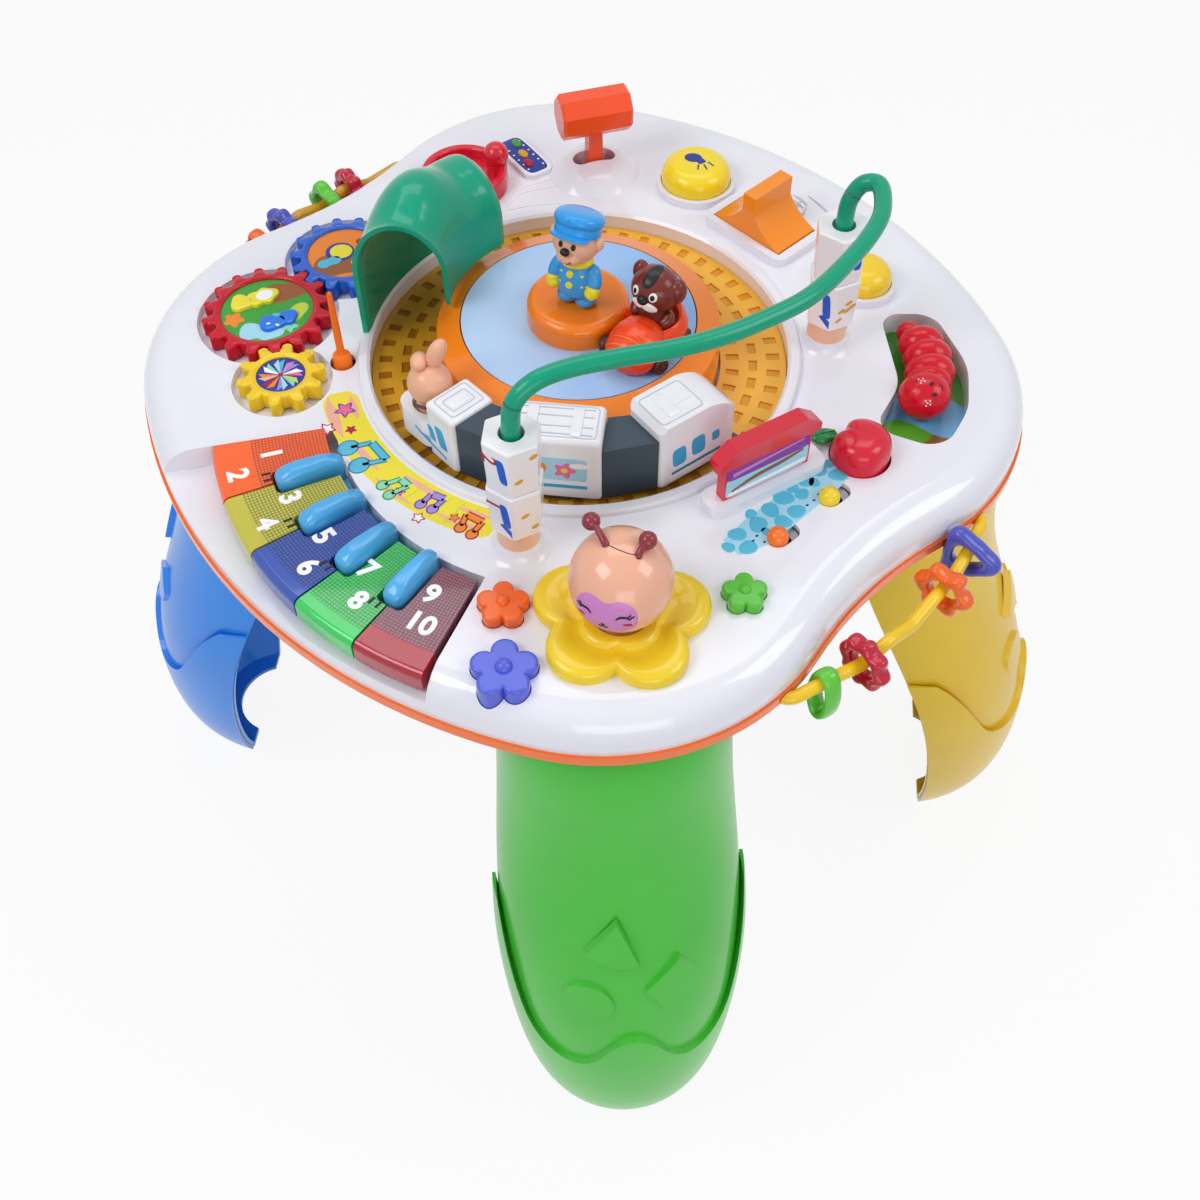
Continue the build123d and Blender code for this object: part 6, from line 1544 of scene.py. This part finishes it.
piece(
    "oval_ring_bead",
    [
        (
            ring_bead(-59.5, 14, oval(8.9, 18.1, count=96), oval(4.3, 13.9, count=96)),
            FINISHES["bead_1"],
        )
    ],
    "bead_1", ["bead_1"],
)
piece(
    "bumpy_ring_bead", [(ring_bead(-53.5, 7.5, bumpy(15.5, 8, 3.5), hole()), FINISHES["bead_2"])],
    "bead_2", ["bead_2"],
)
piece(
    "petal_ring_bead", [(ring_bead(-38, 7.5, bumpy(16.5, 6, 5.4), hole()), FINISHES["bead_3"])],
    "bead_3", ["bead_3"],
)
corner = wavy(14.6, [(3, 0.19), (6, 0.05)], count=96)
piece(
    "triangle_ring_bead",
    [(ring_bead(-31.5, 7, corner, wavy(7.4, [(3, 0.1)], count=96)), FINISHES["bead_4"])], "bead_4",
    ["bead_4"],
)
rear = [
    (ring_bead(a, 7.5, bumpy(r, n, b), hole()), FINISHES["rear_beads"])
    for a, r, n, b in (
        (147.5, 12.0, 6, 4.0), (142.5, 15.0, 8, 3.5), (134.0, 15.5, 5, 5.0), (129.3, 15.5, 9, 3.0)
    )
]
piece("rear_ring_beads", rear, "rear_beads", ["rear_beads"])

# %% [markdown]
# ## Slide knobs and petals
# Each slide knob carries a pale grey shutter that closes its slot from below; its grey is painted
# shade of the slot. The bee sits in five puffed petals round a dish.

# %% Shutters
SHUTTER_HALF, SHUTTER_ENDS = 5.4, (7.0, -9.0)
for name, spot in (("volume_slider", (124.0, -107.0)), ("power_slider", (96.5, -132.5))):
    axes = np.array([[*at(1, 40), 0], [*at(1, 130), 0], [0, 0, 1]])
    outline = oval(SHUTTER_HALF, SHUTTER_HALF)
    outline[:, 0] += np.where(outline[:, 0] > 0, *SHUTTER_ENDS)
    shutter = plate(outline, 376.6, 377.6, 0.2)
    # The shutter stands for the real floor of the slot; its grey is painted shade on that white
    # floor.
    piece(name + "_shutter", [(placed(shutter, (*spot, 0), axes), ink["seam"])], name)

# %% Petals
FLOWER = (20.0, -180.0)
u = np.linspace(0, 2 * pi, 241)
fold = (u - radians(13) + pi / 5) % (2 * pi / 5) - pi / 5
DISH, PETAL_AT, PETAL_R = 14.4, 24.6, 18.4
petal = PETAL_AT * np.cos(fold) + np.sqrt(
    np.clip(PETAL_R**2 - (PETAL_AT * np.sin(fold)) ** 2, 0, None)
)
rings = []
for share, z in (
    (0, 381.0), (1, 381.0), (1, 383.8), (0.985, 385.8), (0.94, 387.2), (0.86, 388.1), (0.76, 388.4),
    (0.62, 388.0), (0.46, 386.4), (0.36, 385.4),
    (0.29, 385.4), (0.235, 387.0), (0.19, 387.9), (0.12, 387.9), (0.04, 387.7), (0, 387.2),
    (0, 381.0),
):
    r = DISH + (petal - DISH) * share
    rings.append(
        np.stack([FLOWER[0] + r * np.cos(u), FLOWER[1] + r * np.sin(u), np.full_like(u, z)], -1)
    )
piece(
    "puffed_petals", [(np.stack(rings), FINISHES["flower_bezel"])], "table", ["flower_bezel"],
)

# %% [markdown]
# ## Buttons with a face or a fruit
# The bee head over the flower, the grub in its hollow and the apple. The bee has a painted face
# patch with closed eyes; two feelers stand on its head.

# %% Bee
BEE = np.array([*FLOWER, 411.0])
BEE_R = 24.0
bee_look = facing(-110.5, 5.8)
on_bee = ball_sticker(BEE, BEE_R, bee_look)
bee = [
    (ball(BEE, BEE_R, rows=41, columns=65), peach_head),
    (
        lathe(
            
            [
                (0, 375.5), (13.6, 375.5), (13.8, 376.6), (13.6, 377.5), (12, 377.8), (12, 392),
                (0, 392),
            ],
            (*FLOWER, 0), count=0,
        ),
        peach_head,
    ),
]
patch = oval(15.4, 12.4, (0.4, -1.6), 0, 2.3, 64)
patch[:, 1] -= 3.4 * np.exp(-(((patch[:, 0] - 0.6) / 5.0) ** 2)) * (patch[:, 1] > 0)
bee.append(on_bee(plate(patch, -0.5, 0.12), "mauve"))
for side in (-1, 1):
    x = side * 9.0
    bee.append(
        on_bee(
            ribbon(
                [(x - 3.2, -0.9), (x - 1.4, 0.7), (x + 1.4, 0.7), (x + 3.2, -0.9)], [0.7, 1.4, 0.7],
                -0.3, 0.25,
            ),
            "black",
        )
    )
    for step in (0.0, 1.5):
        bee.append(
            on_bee(
                ribbon(
                    
                    [
                        (x + side * (1.7 + step), 0.5 - step * 0.5),
                        (x + side * (3.4 + step), 2.2 - step * 0.6),
                    ],
                    0.7, -0.3, 0.25,
                ),
                "black",
            )
        )
    bee.append(on_bee(plate(oval(2.2, 0.8, (x * 1.24, -4.6), -side * 8), -0.3, 0.24), "red"))
bee.append(
    on_bee(
        ribbon([(-2.0, -7.2), (-1.0, -8.5), (0, -7.5), (1.0, -8.6), (2.1, -7.4)], 0.7, -0.3, 0.25),
        "black",
    )
)
bee.append(on_bee(plate(oval(1.0, 0.7, (0, -6.0)), -0.3, 0.28), "black"))
seam = smooth_line([(-7, 1.3, 22.9), (-1.5, -2.6, 23.8), (3.5, -4.6, 23.4), (7.2, -4.6, 22.4)], 20)
seam *= (BEE_R + 0.05) / np.linalg.norm(seam, axis=1, keepdims=True)
bee.append((tube(seam + BEE, 0.22, 30, 8), wheel_brown))
for root, tip in (
    ((13.0, -178.7, 433.9), (6.8, -167.5, 436.0)), ((27.2, -184.6, 433.4), (31.4, -178.4, 436.0))
):
    root, tip = np.array(root), np.array(tip)
    bend = (root + tip) / 2 + (0, 0, 1.4)
    bee.append(
        (tube([root - (0, 0, 3), root, bend, tip], [1.9, 1.8, 1.5, 1.5], 26, 16), maroon_feeler)
    )
    bee.append((ball(tip, 4.2, rows=17, columns=25), maroon_feeler))
piece("bee_with_feelers", bee, "bee_head", ["bee_head"])

# %% Grub
grub = []
for x, y, z, wide, long, high in (
    (180.6, 16.0, 377.0, 6.6, 6.4, 6.6), (185.6, 4.4, 379.2, 12.4, 9.6, 11.2),
    (187.4, -6.6, 379.6, 13.2, 9.8, 11.8),
    (186.8, -18.4, 379.8, 13.6, 10.0, 12.0), (184.8, -26.4, 379.6, 12.6, 9.0, 11.4),
):
    grub.append((ball((x, y, z), (wide, long, high)), FINISHES["grub"]))
GRUB_HEAD = np.array([181.4, -35.6, 380.5])
grub.append((ball(GRUB_HEAD, (13.8, 12.6, 12.8), rows=33, columns=49), FINISHES["grub"]))
piece("crawling_grub", grub, "grub", ["grub"])

on_grub = ball_sticker(GRUB_HEAD, 13.0, facing(-66, 58, 84))
grub_face = []
for side in (-1, 1):
    grub_face.append(on_grub(plate(oval(1.0, 1.4, (side * 3.0, 1.0)), -0.3, 0.15), "black"))
    for dx, dy in ((0, 0), (1.5, 0.9), (-1.4, 0.9), (0.9, -1.4), (-1.0, -1.4)):
        grub_face.append(
            on_grub(plate(oval(0.42, 0.42, (side * 6.6 + dx, 5.4 + dy)), -0.2, 0.15), "white")
        )
grub_face.append(on_grub(ribbon([(-1.4, -3.8), (0, -4.7), (1.4, -3.8)], 0.6, -0.3, 0.2), "black"))
piece("grub_face", grub_face, "grub")

# %% Flick stick
stick = [
    (
        lathe(
            
            [
                (0, 378.5), (4.9, 378.5), (5.0, 381), (4.9, 385.4), (4.2, 386.6), (2.4, 387.6),
                (2.1, 392), (2.0, 404), (1.7, 418), (1.4, 426), (1.0, 428.6), (0, 429),
            ],
            (-126.7, -8.5, 0), count=60,
        ),
        FINISHES["flick_stick"],
    )
]
piece("slim_flick_stick", stick, "flick_stick", ["flick_stick"])

# %% Apple and leaf
APPLE, APPLE_R = (142.5, -78.5), 15.4
u = np.linspace(0, 2 * pi, 97)
dent, foot = (
    np.exp(-((((u - radians(turn) + pi) % (2 * pi) - pi) / spread) ** 2))
    for turn, spread in ((140, 0.34), (-40, 0.5))
)
radius = APPLE_R * (1 - 0.3 * dent - 0.06 * foot)
apple_outline = np.stack([APPLE[0] + radius * np.cos(u), APPLE[1] + radius * np.sin(u)], -1)
apple_steps = [
    (0, 375.4), (1.0, 375.4), (1.0, 386.5), (0.985, 389.2), (0.93, 392.2), (0.82, 394.6),
    (0.66, 396.2), (0.46, 396.9), (0.22, 397), (0, 397),
]
apple = [(stacked(apple_outline, apple_steps), apple_red)]
leaf = oval(7.4, 4.9, (124.6, -68.6), 18, 1.7)
apple.append(
    (
        stacked(
            leaf,
            [
                (0, 383.6), (0.9, 383.7), (1.0, 384.6), (0.96, 385.6), (0.7, 387.0), (0.35, 387.6),
                (0, 387.7),
            ],
        ),
        leaf_green,
    )
)
apple.append(
    (
        tube(
            [(119.4, -70.4, 387.2), (124.6, -68.6, 388.0), (130.6, -66.6, 387.0)], [0.6, 0.8, 0.5],
            16, 10,
        ),
        leaf_green,
    )
)
apple.append(
    (
        tube(
            [(127.0, -70.0, 385.6), (131.6, -71.6, 386.6), (136.6, -75.0, 388.6)], [1.5, 1.6, 1.9],
            18, 12,
        ),
        leaf_green,
    )
)
piece("apple_with_leaf", apple, "apple_button", ["apple_button"])
